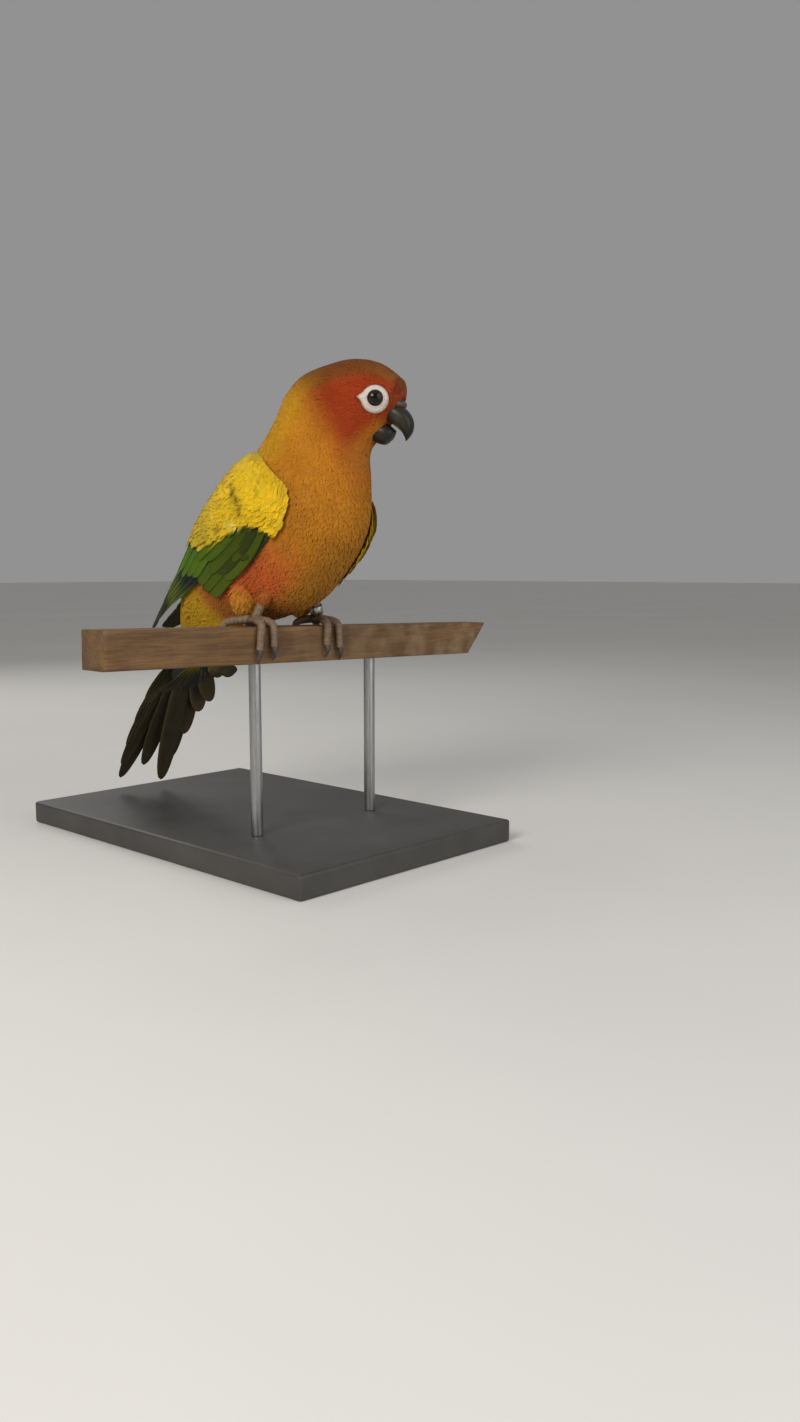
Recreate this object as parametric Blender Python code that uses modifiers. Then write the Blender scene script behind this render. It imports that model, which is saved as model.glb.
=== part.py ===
"""A life-size sun conure at rest on a short length of sawn timber, held up by a plain stand.

Blender 4.5, metres, +Z up.  +X is the way the bird's body faces and +Y is its left, along the perch.
The bird is laid out about the middle of its feet on top of the perch and then set on the stand.
"""
import math
import random

import bmesh
import bpy
import numpy as np
from mathutils import Matrix, Vector

mm = 0.001
GAP = 0.3 * mm                       # what touching pieces keep between them
CUTTER_GAP = 1.3 * GAP               # the same across a faceted surface

# Stand and perch
BASE_SIZE = (228 * mm, 150 * mm, 12 * mm)
BASE_BEVEL = 1.5 * mm
BEVEL_STEPS = 2
ROD_RADIUS = 3.0 * mm
ROD_SPACING = 80 * mm
ROD_GAPS = 2.4 * GAP                 # under a rod and over it, where the timber's slope needs a little more
PERCH_SIDE = 18 * mm
PERCH_LENGTH = 258 * mm
PERCH_END_SLANT = 15 * mm            # how much shorter the underside is at the pointed end
PERCH_BEVEL = 0.8 * mm
PERCH_TOP = 116 * mm
FEET_PLACE = (48 * mm, -19 * mm)     # from the middle of the base to the middle of the feet
PERCH_FORWARD = -5.0                 # middle of the timber from the middle of the feet, in millimetres
PERCH_SLOPE = math.radians(1.2)      # the timber dips this much towards its pointed end, and the bird with it

# Body, as sections from the root of the tail to the forehead.  Each holds the point on the back and the
# point on the belly side, as (forward, up) from the feet, and half of the width, all in millimetres.
BODY_SECTIONS = [
    ((-87, -7), (-68, -20), 8.5),     # root of the tail
    ((-85, 9), (-58, -14), 12),
    ((-78, 26), (-44, -6), 16.5),     # rump
    ((-68, 41.5), (-28, 0), 21),
    ((-56, 55.5), (-8, 5), 24.5),
    ((-41, 68.5), (14, 12.5), 26.5),  # belly
    ((-26, 79), (31, 27.5), 27),
    ((-14, 87), (41.2, 41), 26),      # breast
    ((-7, 95), (45.2, 56), 23.3),
    ((-1.8, 102.6), (45, 68.5), 20.5),  # neck
    ((2.6, 111.2), (43, 78), 18.8),
    ((10.8, 119.6), (43.2, 84.2), 17.8),  # back of the head, and throat
    ((24, 124.2), (46, 88.2), 17.2),
    ((36.3, 126.2), (49.6, 91.8), 16.2),  # crown
    ((48.6, 123.9), (52.6, 95.8), 14.2),
    ((58.2, 117.4), (55.5, 100.2), 10.5),  # forehead
]
# In front of the last section the forehead closes: shares of that section, and how far ahead of it
HEAD_FRONT = ((0.84, 1.3), (0.5, 2.5))
SECTION_POWER = 0.92                  # under 1 squares the sections slightly
EGG = 0.07                            # how much wider each section is above its middle than below
HEAD_TURN = math.radians(25)          # the head looks to the bird's left of where the body faces
TURN_PIVOT = 15 * mm                  # forward of the feet, where the neck turns
TURN_FROM, TURN_TO = 8.0, 11.5        # sections over which the turn builds up
NECK_CUT, HEAD_CUT, RUMP_CUT = 8.4, 10.4, 1.6   # places where the trunk is parted
HALF_PART = 0.006                     # half of the gap at each, as a share of a section's length
LAST_SECTION = len(BODY_SECTIONS) - 1

# Guide for the folded wings, from the breast back.  It follows the body as far as the rump, then leaves it
# and runs on past it to the wing tips.
WING_SECTIONS = BODY_SECTIONS[8:2:-1] + [
    ((-80, 29), (-45.5, -7), 17.5),
    ((-90.5, 18.5), (-63, -10), 14.5),
    ((-100, 9.5), (-79, -12), 11),
    ((-108.5, 1.5), (-94.5, -13), 8),
    ((-116.5, -6), (-108, -14.5), 5),
]
# Outline of a folded wing on that guide: place along it, angle of the upper and of the lower edge from the
# middle of the back, in degrees, and how far it stands off the body, in millimetres
WING_OUTLINE = [
    (0.45, 62, 100, 1.3),
    (0.8, 42, 107, 2.9),
    (1.4, 24, 110, 3.5),
    (2, 12, 110, 3.2),
    (2.6, 9, 110, 2.6),
    (3.3, 8, 110, 2),
    (4, 9, 108, 1.4),
    (4.7, 12, 95, 0.9),
]
WING_OFF_BODY = 0.9                 # what the wing's underside keeps from the body
THINNEST = 0.6                      # the core is nowhere thinner than this
EDGE_DROP = 0.75                    # how much of its thickness the core loses at its edges

# The wing's feathers in tiers, each from its lowest to its highest: how many, the roots and the tips of the
# first and of the last as (place, angle), half of the width, and how far the roots and the tips stand off.
# Lengths are in millimetres and angles in degrees.
WING_TIERS = {
    "primaries": (6, ((3.4, 99), (3.2, 62)), ((9.95, 34), (6.5, 20)), 4.9, (2.1, 2.6), (1.5, 2.3)),
    "secondaries": (7, ((2.7, 104), (2.4, 24)), ((4.6, 109), (6.3, 12)), 4.8, (2.8, 2.8), (2.4, 2.8)),
    "greater_coverts": (7, ((1.9, 104), (1.8, 24)), ((3.75, 105), (4.5, 14)), 4.2, (3.4, 3.4), (3.2, 3.5)),
    "median_coverts": (6, ((1.4, 103), (1.2, 34)), ((2.85, 103), (3.35, 20)), 4.2, (3.7, 3.6), (3.9, 4.2)),
    "lesser_coverts": (5, ((0.95, 100), (0.8, 52)), ((2.1, 102), (2.5, 34)), 4.4, (3.6, 3.4), (4.5, 4.8)),
    "marginal_coverts": (4, ((0.6, 96), (0.55, 68)), ((1.35, 104), (1.6, 54)), 4.2, (2.3, 2.2), (4.9, 5.1)),
    "scapulars": (5, ((2.6, 12), (0.75, 44)), ((4.3, 9), (1.9, 30)), 4.6, (3.4, 3), (4.4, 5.2)),
}
LEFT_WING_DROP = 32                  # the left wing hangs this many degrees further round the breast
LEFT_WING_OUT = 1.2                  # and its lower edge stands this much further off, in millimetres
DROP_FADES = (1.6, 4.6)              # places between which that difference dies out
VANE_STATIONS = (0, 0.4, 0.84, 1)    # along a vane from root to tip
VANE_WIDTHS = (0.6, 1, 0.84, 0.3)    # as shares of its half width
VANE_THICKNESS = (0.75, 0.5)         # at the shaft and at the edges
VANE_THINS = 0.35                    # share of its thickness that a vane loses by its tip
VANE_TILT = 0.16                     # rise across a vane, so that it lies over the one below it
WING_LIGHTEN, TAIL_LIGHTEN, HEAD_LIGHTEN = 0.64, 0.81, 0.68   # shares of the triangles kept after each union
PLACE_VARY = (0.04, 0.07)            # how far the roots and the tips of wing feathers stray along the wing
ANGLE_VARY = 1.0                     # and round it, in degrees
LIFT_VARY, WIDTH_VARY = 0.08, 0.06   # and how their tips' height and their width vary
RANDOM_SEED = 11

# Tail feathers from the innermost out on each side: tip, and half of the width, in millimetres
TAIL_RIGHT = [
    ((-142, 7, -88), 6.5),
    ((-152.5, -2.5, -96), 6.5),
    ((-145, -6, -87), 6),
    ((-136, -8, -75), 6),
    ((-124, -10, -61.5), 6),
    ((-110, -12, -47), 5.5),
]
TAIL_LEFT = [
    ((-140.5, 18, -98), 6),
    ((-134, 20.5, -84), 6),
    ((-122, 22, -68.5), 6),
    ((-108, 22.5, -54), 5.5),
    ((-96, 21.5, -47), 5),
]
TAIL_ROOT = (-86, -17)               # middle of the feather roots, as (forward, up)
TAIL_ROOT_SPREAD = 1.5               # between neighbouring roots
TAIL_LAYER = 0.75                    # how much lower each feather lies than the one inside it
TAIL_SAG = 2.0                       # how far a feather bows towards its back face
TAIL_ROLL = 0.08                     # rise across each feather towards its outer edge
TAIL_BACK = (-0.73, 0, 0.68)         # the way the tail's upper face looks
TAIL_WAY = (-0.7, 0, -0.71)          # the way the tail hangs
VANE_CUP = 0.02                      # how fast a tail vane falls away each side of its shaft
# Coverts over and under the tail's root: first and last tip, root, count and half of the width
UNDER_TAIL = (((-90, -8, -43), (-66, 15, -28)), (-70, -21), 6, 5.5)
OVER_TAIL = (((-106, -7, -26), (-104, 8, -28)), (-86, -8), 4, 5)
COVERT_ROOTS, COVERT_VARY, COVERT_SAG = 12, 1.5, 1.5   # width over their roots, and how they vary and bow

# Tail core, as sections like the body's
TAIL_CORE = [
    ((-87, -7), (-68, -20), 8.5),
    ((-91, -14), (-70, -27), 11),
    ((-97, -22), (-76, -34), 12.5),
    ((-102, -30), (-86, -40), 11),
]
TAIL_CORE_TIP = (-99, -41)

# Bill, as (top, underside, half width) in the upright middle plane of the head before it turns
UPPER_BILL = [
    ((52, 106), (49, 99.5), 5.6),
    ((58.4, 104.6), (54.2, 96.2), 5.8),
    ((62.8, 101), (57.2, 94), 5.2),
    ((64.8, 96.8), (59.4, 92), 4.2),
    ((64.6, 92.8), (60.4, 90.4), 2.9),
    ((63.3, 90.2), (61, 89.2), 1.6),
]
UPPER_BILL_TIP = (61.4, 88.0)
LOWER_BILL = [
    ((45, 97.5), (42.5, 90), 5.0),
    ((51.5, 96.6), (47, 87.4), 5.2),
    ((54.2, 94.4), (51.2, 86.8), 4.5),
    ((55.6, 92.2), (53.8, 87.8), 3.0),
]
LOWER_BILL_TIP = (55.6, 89.6)
CERE_AT = (58.2, 0, 104.6)            # bare skin over the root of the bill
CERE_RADII = (2.8, 5.4, 2.0)          # forward, sideways and up
NOSTRIL_WAY = (0.45, 0.55, 0.7)       # from the middle of the cere, in shares of its radii
NOSTRIL_RADIUS = 0.75

# Eyes, found on the side of the head by section and by angle from the crown
EYE_AT = (13.9, math.radians(104))
EYE_RADIUS = 4.6 * mm
EYE_SINK = 2.2 * mm                  # from the skin in to the middle of the eyeball
RING_RADII = (6.3 * mm, 6.7 * mm, 1.3 * mm)
RING_SINK = 0.2 * mm
CORNER_AT = (13.0, math.radians(95))  # the ring runs out to a corner behind the eye
CORNER_RADII = (3.6 * mm, 2.2 * mm, 0.9 * mm)
LID_RADII = (4.0 * mm, 0.55 * mm)
LID_RISE = 0.9 * mm

# Legs, in millimetres from the middle of the feet.  All are for the bird's right; the left is mirrored.
FOOT_OUT = 21
THIGH_AT = (-14, -18.5, 14)
THIGH_RADII = (8, 6.5, 10)
THIGH_AXIS = (0.25, -0.1, 1)
TARSUS_RADIUS = 2.2
SHANK_STEPS, TOE_STEPS, CLAW_STEPS = 8, 9, 7
PAD_RADII = (4.2, 4.2, 2.2)
TOE_RADIUS = 1.9
TOE_OVER = 0.3                        # gap between a toe and the timber
# Shares of its radius: at a toe's root, what it loses by its claw, and what it gains at its pads
TOE_ROOT, TOE_TAPER, TOE_SWELL = 1.12, 0.3, 0.07
# Points of a toe on top of the perch: how far out from the perch's middle, the share of its way along the
# perch, and how far over the lowest it can lie
TOE_ON_TOP = [(1.5, 0.15, 1.2), (5.5, 0.6, 0.7)]
TOE_INSIDE_EDGE, TOE_OVER_EDGE = 0.5, 0.1   # how far inside the edge it starts to bend, and how far over it
# Past the edge, as shares: out and up of its clearance, then along and down of the way to its claw
TOE_ROUND_EDGE = (0.9, 0.35)
TOE_DOWN_FACE = ((0.4, 0), (0.8, 0.5), (1, 1))
# Toes: how far along the perch from the foot's middle the toe lies where it crosses the edge and where its
# claw starts, which side of the perch it goes to, and how far down that face its claw starts
TOES = [
    (2.5, 3.5, 1, 9.5),
    (-3.5, -5.5, 1, 11),
    (-8, -11, -1, 4),
    (3.5, 6, -1, 7),
]
# Points of a claw: how far on from the toe, and how far off the face of the perch
CLAW_SHAPE = [(0, 0), (2.2, 0.5), (4.4, 0.1), (6.5, -1.6)]
CLAW_RADII = (1.51, 0.16)             # at the toe and at the point
CLAW_FULL = 1.6                       # over 1 keeps the claw thick for longer
# Points of the shank from the pad up, as (forward, in towards the middle, up) from the foot
SHANK_SHAPE = [(0.5, 0, 3), (1.2, 1.6, 7), (1.9, 3.2, 11), (1.6, 6, 16), (0, 10, 22)]
RING_BAND = (2.75 * mm, 3.35 * mm, 4.6 * mm)   # inner and outer radius and height of the leg band
RING_BAND_PLACE = 1.3                          # how far up the shank it sits, in points of its path


def clear_scene():
    for old in list(bpy.data.objects):
        bpy.data.objects.remove(old, do_unlink=True)


def new_object(name, mesh, collection):
    made = bpy.data.objects.new(name, mesh)
    collection.objects.link(made)
    return made


def spline(rows, at):
    """A smooth curve through the rows, read at a place counted in rows."""
    rows = np.asarray(rows, float)
    last = len(rows) - 1
    at = min(max(at, 0.0), float(last))
    i = min(int(at), last - 1)
    t = at - i
    before = rows[i - 1] if i > 0 else 2 * rows[0] - rows[1]
    after = rows[i + 2] if i + 2 <= last else 2 * rows[last] - rows[last - 1]
    a, b = rows[i], rows[i + 1]
    return 0.5 * (2 * a + (b - before) * t + (2 * before - 5 * a + 4 * b - after) * t * t
                  + (3 * a - before - 3 * b + after) * t ** 3)


def smooth_step(low, high, value):
    t = min(max((value - low) / (high - low), 0.0), 1.0)
    return t * t * (3 - 2 * t)


def turned(point, angle):
    """A point swung about the upright line through the neck, towards the bird's left."""
    x, y = point[0] - TURN_PIVOT, point[1]
    c, s = math.cos(angle), math.sin(angle)
    return np.array([TURN_PIVOT + c * x - s * y, s * x + c * y, point[2]])


def flat_rows(sections):
    return [(*back, *belly, half_width) for back, belly, half_width in sections]


BODY_ROWS = flat_rows(BODY_SECTIONS)
WING_ROWS = flat_rows(WING_SECTIONS)
LOWEST_EDGE = math.radians(max(last for _, _, last, _ in WING_OUTLINE))


def section_point(row, angle, out=0.0):
    """A point of a section.  Angle 0 is the back, a quarter turn the right side, a half turn the belly."""
    back = np.array([row[0], 0.0, row[1]])
    belly = np.array([row[2], 0.0, row[3]])
    middle = (back + belly) / 2
    half = (back - belly) / 2
    c, s = math.cos(angle), math.sin(angle)
    upward = math.copysign(abs(c) ** SECTION_POWER, c)
    sideways = math.copysign(abs(s) ** SECTION_POWER, s)
    length = np.linalg.norm(half)
    width = (row[4] + out) * (1 + EGG * c)
    return (middle + half / length * (length + out) * upward
            + np.array([0.0, -width * sideways, 0.0])) * mm


def body_point(place, angle, out=0.0):
    point = section_point(spline(BODY_ROWS, place), angle, out)
    return turned(point, HEAD_TURN * smooth_step(TURN_FROM, TURN_TO, place))


def new_collection(name):
    made = bpy.data.collections.new(name)
    bpy.context.scene.collection.children.link(made)
    return made


def loft(name, rings, collection, ends=(None, None)):
    """A closed skin over rings of points, closed at each end by a flat face or by the given tip."""
    mesh = bmesh.new()
    rows = [[mesh.verts.new(p) for p in ring] for ring in rings]
    count = len(rows[0])
    for first, second in zip(rows, rows[1:]):
        for i in range(count):
            j = (i + 1) % count
            mesh.faces.new((first[i], first[j], second[j], second[i]))
    for ring, tip, flip in ((rows[0], ends[0], True), (rows[-1], ends[1], False)):
        if tip is None:
            mesh.faces.new(ring)
            continue
        point = mesh.verts.new(tip)
        for i in range(count):
            mesh.faces.new((ring[i], ring[(i + 1) % count], point))
    bmesh.ops.recalc_face_normals(mesh, faces=mesh.faces)
    bmesh.ops.triangulate(mesh, faces=mesh.faces)
    data = bpy.data.meshes.new(name)
    mesh.to_mesh(data)
    mesh.free()
    data.shade_smooth()
    return new_object(name, data, collection)


def sections_loft(name, sections, tip, collection, sides=20):
    """A closed loft over sections in the middle plane of the turned head, ending in a point."""
    rings = []
    for back, belly, half_width in sections:
        row = (*back, *belly, half_width)
        rings.append([turned(section_point(row, 2 * math.pi * i / sides), HEAD_TURN) for i in range(sides)])
    point = turned(np.array([tip[0], 0.0, tip[1]]) * mm, HEAD_TURN)
    return loft(name, rings, collection, (None, point))


def body_loft(name, start, end, steps, collection, out=0.0, tip=False, sides=30):
    """A length of the body between two places along it.  `out` grows it, for a cutter that leaves a gap."""
    rings = []
    for i in range(steps + 1):
        place = start + (end - start) * i / steps
        rings.append([body_point(place, 2 * math.pi * j / sides, out) for j in range(sides)])
    if tip:
        last = rings[-1]
        middle = (body_point(end, 0) + body_point(end, math.pi)) / 2
        forward = turned(np.array([1.0, 0.0, 0.0]), HEAD_TURN) - turned(np.zeros(3), HEAD_TURN)
        for share, ahead in HEAD_FRONT:
            rings.append([middle + share * (p - middle) + forward * (ahead + out) * mm for p in last])
    return loft(name, rings, collection)


def boolean(target, other, operation, solver="EXACT"):
    """Joins or cuts the target by one object or by a whole collection, and applies it."""
    step = target.modifiers.new(operation, "BOOLEAN")
    step.operation = operation
    step.solver = solver
    if isinstance(other, bpy.types.Collection):
        step.operand_type = "COLLECTION"
        step.collection = other
    else:
        step.object = other
    graph = bpy.context.evaluated_depsgraph_get()
    data = bpy.data.meshes.new_from_object(target.evaluated_get(graph))
    target.modifiers.clear()
    target.data = data
    return target


def keep_largest(target):
    """Drops every loose surface but the one that encloses the most."""
    mesh = bmesh.new()
    mesh.from_mesh(target.data)
    bmesh.ops.remove_doubles(mesh, verts=mesh.verts, dist=1e-6)
    bmesh.ops.triangulate(mesh, faces=mesh.faces)
    left = set(mesh.faces)
    surfaces = []
    while left:
        found = {left.pop()}
        front = list(found)
        while front:
            face = front.pop()
            for edge in face.edges:
                for near in edge.link_faces:
                    if near in left:
                        left.remove(near)
                        found.add(near)
                        front.append(near)
        volume = sum(f.verts[0].co.dot(f.verts[1].co.cross(f.verts[2].co)) for f in found)
        surfaces.append((volume, found))
    surfaces.sort(key=lambda entry: -entry[0])
    for _, faces in surfaces[1:]:
        bmesh.ops.delete(mesh, geom=list(faces), context="FACES")
    loose = [v for v in mesh.verts if not v.link_faces]
    bmesh.ops.delete(mesh, geom=loose, context="VERTS")
    mesh.to_mesh(target.data)
    mesh.free()
    target.data.shade_smooth()
    target.data.set_sharp_from_angle(angle=math.radians(40))


def lighten(target, share):
    """Merges the smallest triangles that a union leaves, down to a share of all of them."""
    step = target.modifiers.new("lighten", "DECIMATE")
    step.ratio = share
    graph = bpy.context.evaluated_depsgraph_get()
    data = bpy.data.meshes.new_from_object(target.evaluated_get(graph))
    target.modifiers.clear()
    target.data = data


def cut_clear(target, cutters):
    for cutter in cutters:
        boolean(target, cutter, "DIFFERENCE")
    keep_largest(target)


def fuse(target, pieces, solver="EXACT"):
    """Joins all of the pieces, which are closed meshes in one collection, to the target and removes them."""
    boolean(target, pieces, "UNION", solver)
    for piece in list(pieces.objects):
        bpy.data.objects.remove(piece, do_unlink=True)
    bpy.data.collections.remove(pieces)
    keep_largest(target)


def ball(name, centre, radii, turn, collection, segments=20, rings=10):
    """A sphere stretched to three radii and turned."""
    mesh = bmesh.new()
    bmesh.ops.create_uvsphere(mesh, u_segments=segments, v_segments=rings, radius=1.0)
    place = Matrix.Translation(Vector(centre)) @ turn @ Matrix.Diagonal((*radii, 1.0))
    bmesh.ops.transform(mesh, matrix=place, verts=mesh.verts)
    data = bpy.data.meshes.new(name)
    mesh.to_mesh(data)
    mesh.free()
    data.shade_smooth()
    return new_object(name, data, collection)


def tube(name, points, radii, collection):
    """A round bar that bends through the points and tapers, as a closed mesh."""
    curve = bpy.data.curves.new(name, "CURVE")
    curve.dimensions = "3D"
    curve.bevel_depth = 1.0
    curve.bevel_resolution = 1
    curve.use_fill_caps = True
    line = curve.splines.new("POLY")
    line.points.add(len(points) - 1)
    for point, at, radius in zip(line.points, points, radii):
        point.co = (*at, 1.0)
        point.radius = radius
    drawn = new_object(f"{name}_line", curve, collection)
    graph = bpy.context.evaluated_depsgraph_get()
    data = bpy.data.meshes.new_from_object(drawn.evaluated_get(graph))
    bpy.data.objects.remove(drawn, do_unlink=True)
    mesh = bmesh.new()
    mesh.from_mesh(data)
    bmesh.ops.remove_doubles(mesh, verts=mesh.verts, dist=1e-6)
    bmesh.ops.recalc_face_normals(mesh, faces=mesh.faces)
    mesh.to_mesh(data)
    mesh.free()
    data.name = name
    data.shade_smooth()
    return new_object(name, data, collection)


def curved(points, steps):
    """A smooth path through a few points."""
    last = len(points) - 1
    return [spline(points, last * i / steps) for i in range(steps + 1)]


def mirrored(point, side):
    """Side is -1 for the bird's right, as drawn, and 1 for its left."""
    return np.array([point[0], point[1] * -side, point[2]], float)


def side_name(side):
    return "right" if side < 0 else "left"


def wing_point(place, angle, lift, side):
    """A point of one folded wing's guide, lifted off it square to its surface."""
    small = 1e-3
    if side > 0:
        hang = (1 - smooth_step(*DROP_FADES, place)) * (angle / LOWEST_EDGE) ** 2
        angle += math.radians(LEFT_WING_DROP) * hang
        lift += LEFT_WING_OUT * hang
    place = min(max(place, small), len(WING_ROWS) - 1 - small)
    row = spline(WING_ROWS, place)
    here = section_point(row, angle)
    along = section_point(spline(WING_ROWS, place + small), angle)
    along = along - section_point(spline(WING_ROWS, place - small), angle)
    round_it = section_point(row, angle + small) - section_point(row, angle - small)
    normal = np.cross(along, round_it)
    normal = normal / np.linalg.norm(normal)
    middle = (section_point(row, 0.0) + section_point(row, math.pi)) / 2
    if np.dot(normal, here - middle) < 0:
        normal = -normal
    return mirrored(here + normal * lift * mm, side)


def sheet(name, top, under, collection):
    """A closed plate between two grids of points, split into triangles alike on both faces."""
    mesh = bmesh.new()
    grids = [[[mesh.verts.new(p) for p in row] for row in grid] for grid in (top, under)]
    rows, columns = len(top), len(top[0])
    for i in range(rows - 1):
        for j in range(columns - 1):
            for grid, order in ((grids[0], 1), (grids[1], -1)):
                a, b, c, d = grid[i][j], grid[i][j + 1], grid[i + 1][j + 1], grid[i + 1][j]
                for corners in ((a, b, c), (a, c, d)):
                    mesh.faces.new(corners[::order])
    rim = [(0, j) for j in range(columns)] + [(i, columns - 1) for i in range(1, rows)]
    rim += [(rows - 1, j) for j in range(columns - 2, -1, -1)] + [(i, 0) for i in range(rows - 2, 0, -1)]
    for k, (i, j) in enumerate(rim):
        u, v = rim[(k + 1) % len(rim)]
        a, b = grids[0][i][j], grids[0][u][v]
        c, d = grids[1][u][v], grids[1][i][j]
        mesh.faces.new((a, b, c))
        mesh.faces.new((a, c, d))
    bmesh.ops.recalc_face_normals(mesh, faces=mesh.faces)
    data = bpy.data.meshes.new(name)
    mesh.to_mesh(data)
    mesh.free()
    data.shade_smooth()
    return new_object(name, data, collection)


def wing_core(name, side, collection, columns=10):
    """The wing's solid body, which follows the trunk under it."""
    top, under = [], []
    for place, first, last, thick in WING_OUTLINE:
        top.append([])
        under.append([])
        for j in range(columns):
            t = j / (columns - 1)
            angle = math.radians(first + (last - first) * t)
            round_edge = 1 - EDGE_DROP * abs(2 * t - 1) ** 4
            lift = WING_OFF_BODY + max(thick * round_edge, THINNEST)
            top[-1].append(wing_point(place, angle, lift, side))
            under[-1].append(wing_point(place, angle, WING_OFF_BODY, side))
    return sheet(name, top, under, collection)


def vane(name, at, half_width, collection):
    """A feather's vane.  `at` gives the point at a share of the length, a distance across and a lift."""
    top, under = [], []
    for t, wide in zip(VANE_STATIONS, VANE_WIDTHS):
        thick = 1 - VANE_THINS * t ** 3
        top.append([])
        under.append([])
        for across in (-1, 0, 1):
            half = VANE_THICKNESS[abs(across)] * thick / 2
            top[-1].append(at(t, across * half_width * wide, half))
            under[-1].append(at(t, across * half_width * wide, -half))
    return sheet(name, top, under, collection)


def wing_vane(name, side, root, tip, lifts, half_width, collection):
    def at(t, across, up):
        place = root[0] + (tip[0] - root[0]) * t
        angle = math.radians(root[1] + (tip[1] - root[1]) * t)
        row = spline(WING_ROWS, place)
        step = 0.02
        chord = section_point(row, angle + step) - section_point(row, angle - step)
        radius = np.linalg.norm(chord) / (2 * step)
        shift = across * mm / radius
        lift = lifts[0] + (lifts[1] - lifts[0]) * t + across * VANE_TILT + up
        return wing_point(place, angle + shift, lift, side)
    return vane(name, at, half_width, collection)


def between(ends, share):
    return [a + (b - a) * share for a, b in zip(*ends)]


def vary(draw, most):
    return draw.uniform(-most, most)


def build_wing(side, collection, cutters):
    """The wing's core with its feathers laid on it in tiers, each tier over the roots of the next."""
    draw = random.Random(RANDOM_SEED)
    wing = wing_core(f"wing_{side_name(side)}", side, collection)
    pieces = new_collection("wing_vanes")
    for name, (count, roots, tips, half_width, root_lifts, tip_lifts) in WING_TIERS.items():
        for i in range(count):
            share = i / (count - 1)
            root = between(roots, share)
            tip = between(tips, share)
            root = (root[0] + vary(draw, PLACE_VARY[0]), root[1] + vary(draw, ANGLE_VARY))
            tip = (tip[0] + vary(draw, PLACE_VARY[1]), tip[1] + vary(draw, ANGLE_VARY))
            lifts = (root_lifts[0] + (root_lifts[1] - root_lifts[0]) * share,
                     tip_lifts[0] + (tip_lifts[1] - tip_lifts[0]) * share + vary(draw, LIFT_VARY))
            wing_vane(name, side, root, tip, lifts, half_width * (1 + vary(draw, WIDTH_VARY)), pieces)
    fuse(wing, pieces)
    lighten(wing, WING_LIGHTEN)
    cut_clear(wing, cutters)
    return wing


def straight_vane(name, root, tip, back, half_width, sag, roll, collection):
    """A vane between two points, bowed towards its back face and rolled about its length."""
    root, tip, back = (np.array(v, float) for v in (root, tip, back))
    along = (tip - root) / np.linalg.norm(tip - root)
    back = back - along * np.dot(back, along)
    back = back / np.linalg.norm(back)
    across_way = np.cross(along, back)

    def at(t, across, up):
        bow = sag * 4 * t * (1 - t)
        return (root + (tip - root) * t + across_way * across
                + back * (bow + up + across * roll - VANE_CUP * across * across)) * mm
    return vane(name, at, half_width, collection)


def build_tail(collection, cutters):
    """A short core with the long graduated feathers rooted in it, and the coverts over and under them."""
    draw = random.Random(RANDOM_SEED + 1)
    rings = []
    for back, belly, half_width in TAIL_CORE:
        row = (*back, *belly, half_width)
        rings.append([section_point(row, 2 * math.pi * i / 20) for i in range(20)])
    drop = np.array(TAIL_WAY) * GAP
    rings = [[p + drop for p in ring] for ring in rings]
    tip = np.array([TAIL_CORE_TIP[0], 0.0, TAIL_CORE_TIP[1]]) * mm
    tail = loft("tail", rings, collection, (None, tip))
    pieces = new_collection("tail_vanes")
    back = np.array(TAIL_BACK)
    for side, feathers in ((-1, TAIL_RIGHT), (1, TAIL_LEFT)):
        for k, (end, half_width) in enumerate(feathers):
            root = np.array([TAIL_ROOT[0], side * TAIL_ROOT_SPREAD * (k + 0.5), TAIL_ROOT[1]])
            root = root - back * TAIL_LAYER * k
            straight_vane("rectrix", root, end, back, half_width, TAIL_SAG, -side * TAIL_ROLL, pieces)
    for way, (ends, middle, count, half_width) in ((-1, UNDER_TAIL), (1, OVER_TAIL)):
        for i in range(count):
            share = i / (count - 1)
            end = np.array(between(ends, share)) + [vary(draw, COVERT_VARY) for _ in range(3)]
            root = np.array([middle[0], (share - 0.5) * COVERT_ROOTS, middle[1]])
            straight_vane("covert", root, end, back, half_width, COVERT_SAG * way, 0.0, pieces)
    fuse(tail, pieces)
    lighten(tail, TAIL_LIGHTEN)
    cut_clear(tail, cutters)
    return tail


def build_trunk(collection):
    """The flesh, parted where a person would name its parts.  Returns the head."""
    body_loft("rump", 0, RUMP_CUT - HALF_PART, 4, collection)
    body_loft("torso", RUMP_CUT + HALF_PART, NECK_CUT - HALF_PART, 16, collection)
    body_loft("neck", NECK_CUT + HALF_PART, HEAD_CUT - HALF_PART, 5, collection)
    return body_loft("head", HEAD_CUT + HALF_PART, LAST_SECTION, 11, collection, tip=True)


def head_surface(at, side):
    """The skin's point, its outward direction and the way back along the head.  Side is -1 for the right."""
    place, angle = at
    angle = -side * angle
    step = 0.02
    along = body_point(place + step, angle) - body_point(place - step, angle)
    round_it = body_point(place, angle + step) - body_point(place, angle - step)
    normal = np.cross(along, round_it)
    normal = normal / np.linalg.norm(normal)
    middle = (body_point(place, 0) + body_point(place, math.pi)) / 2
    here = body_point(place, angle)
    return here, normal if np.dot(normal, here - middle) > 0 else -normal, -along


def facing(normal, along):
    """A turn that takes Z to the normal and X as near as can be to the way along."""
    z = Vector(normal).normalized()
    x = Vector(along)
    x = (x - z * x.dot(z)).normalized()
    return Matrix((x, z.cross(x), z)).transposed().to_4x4()


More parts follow.
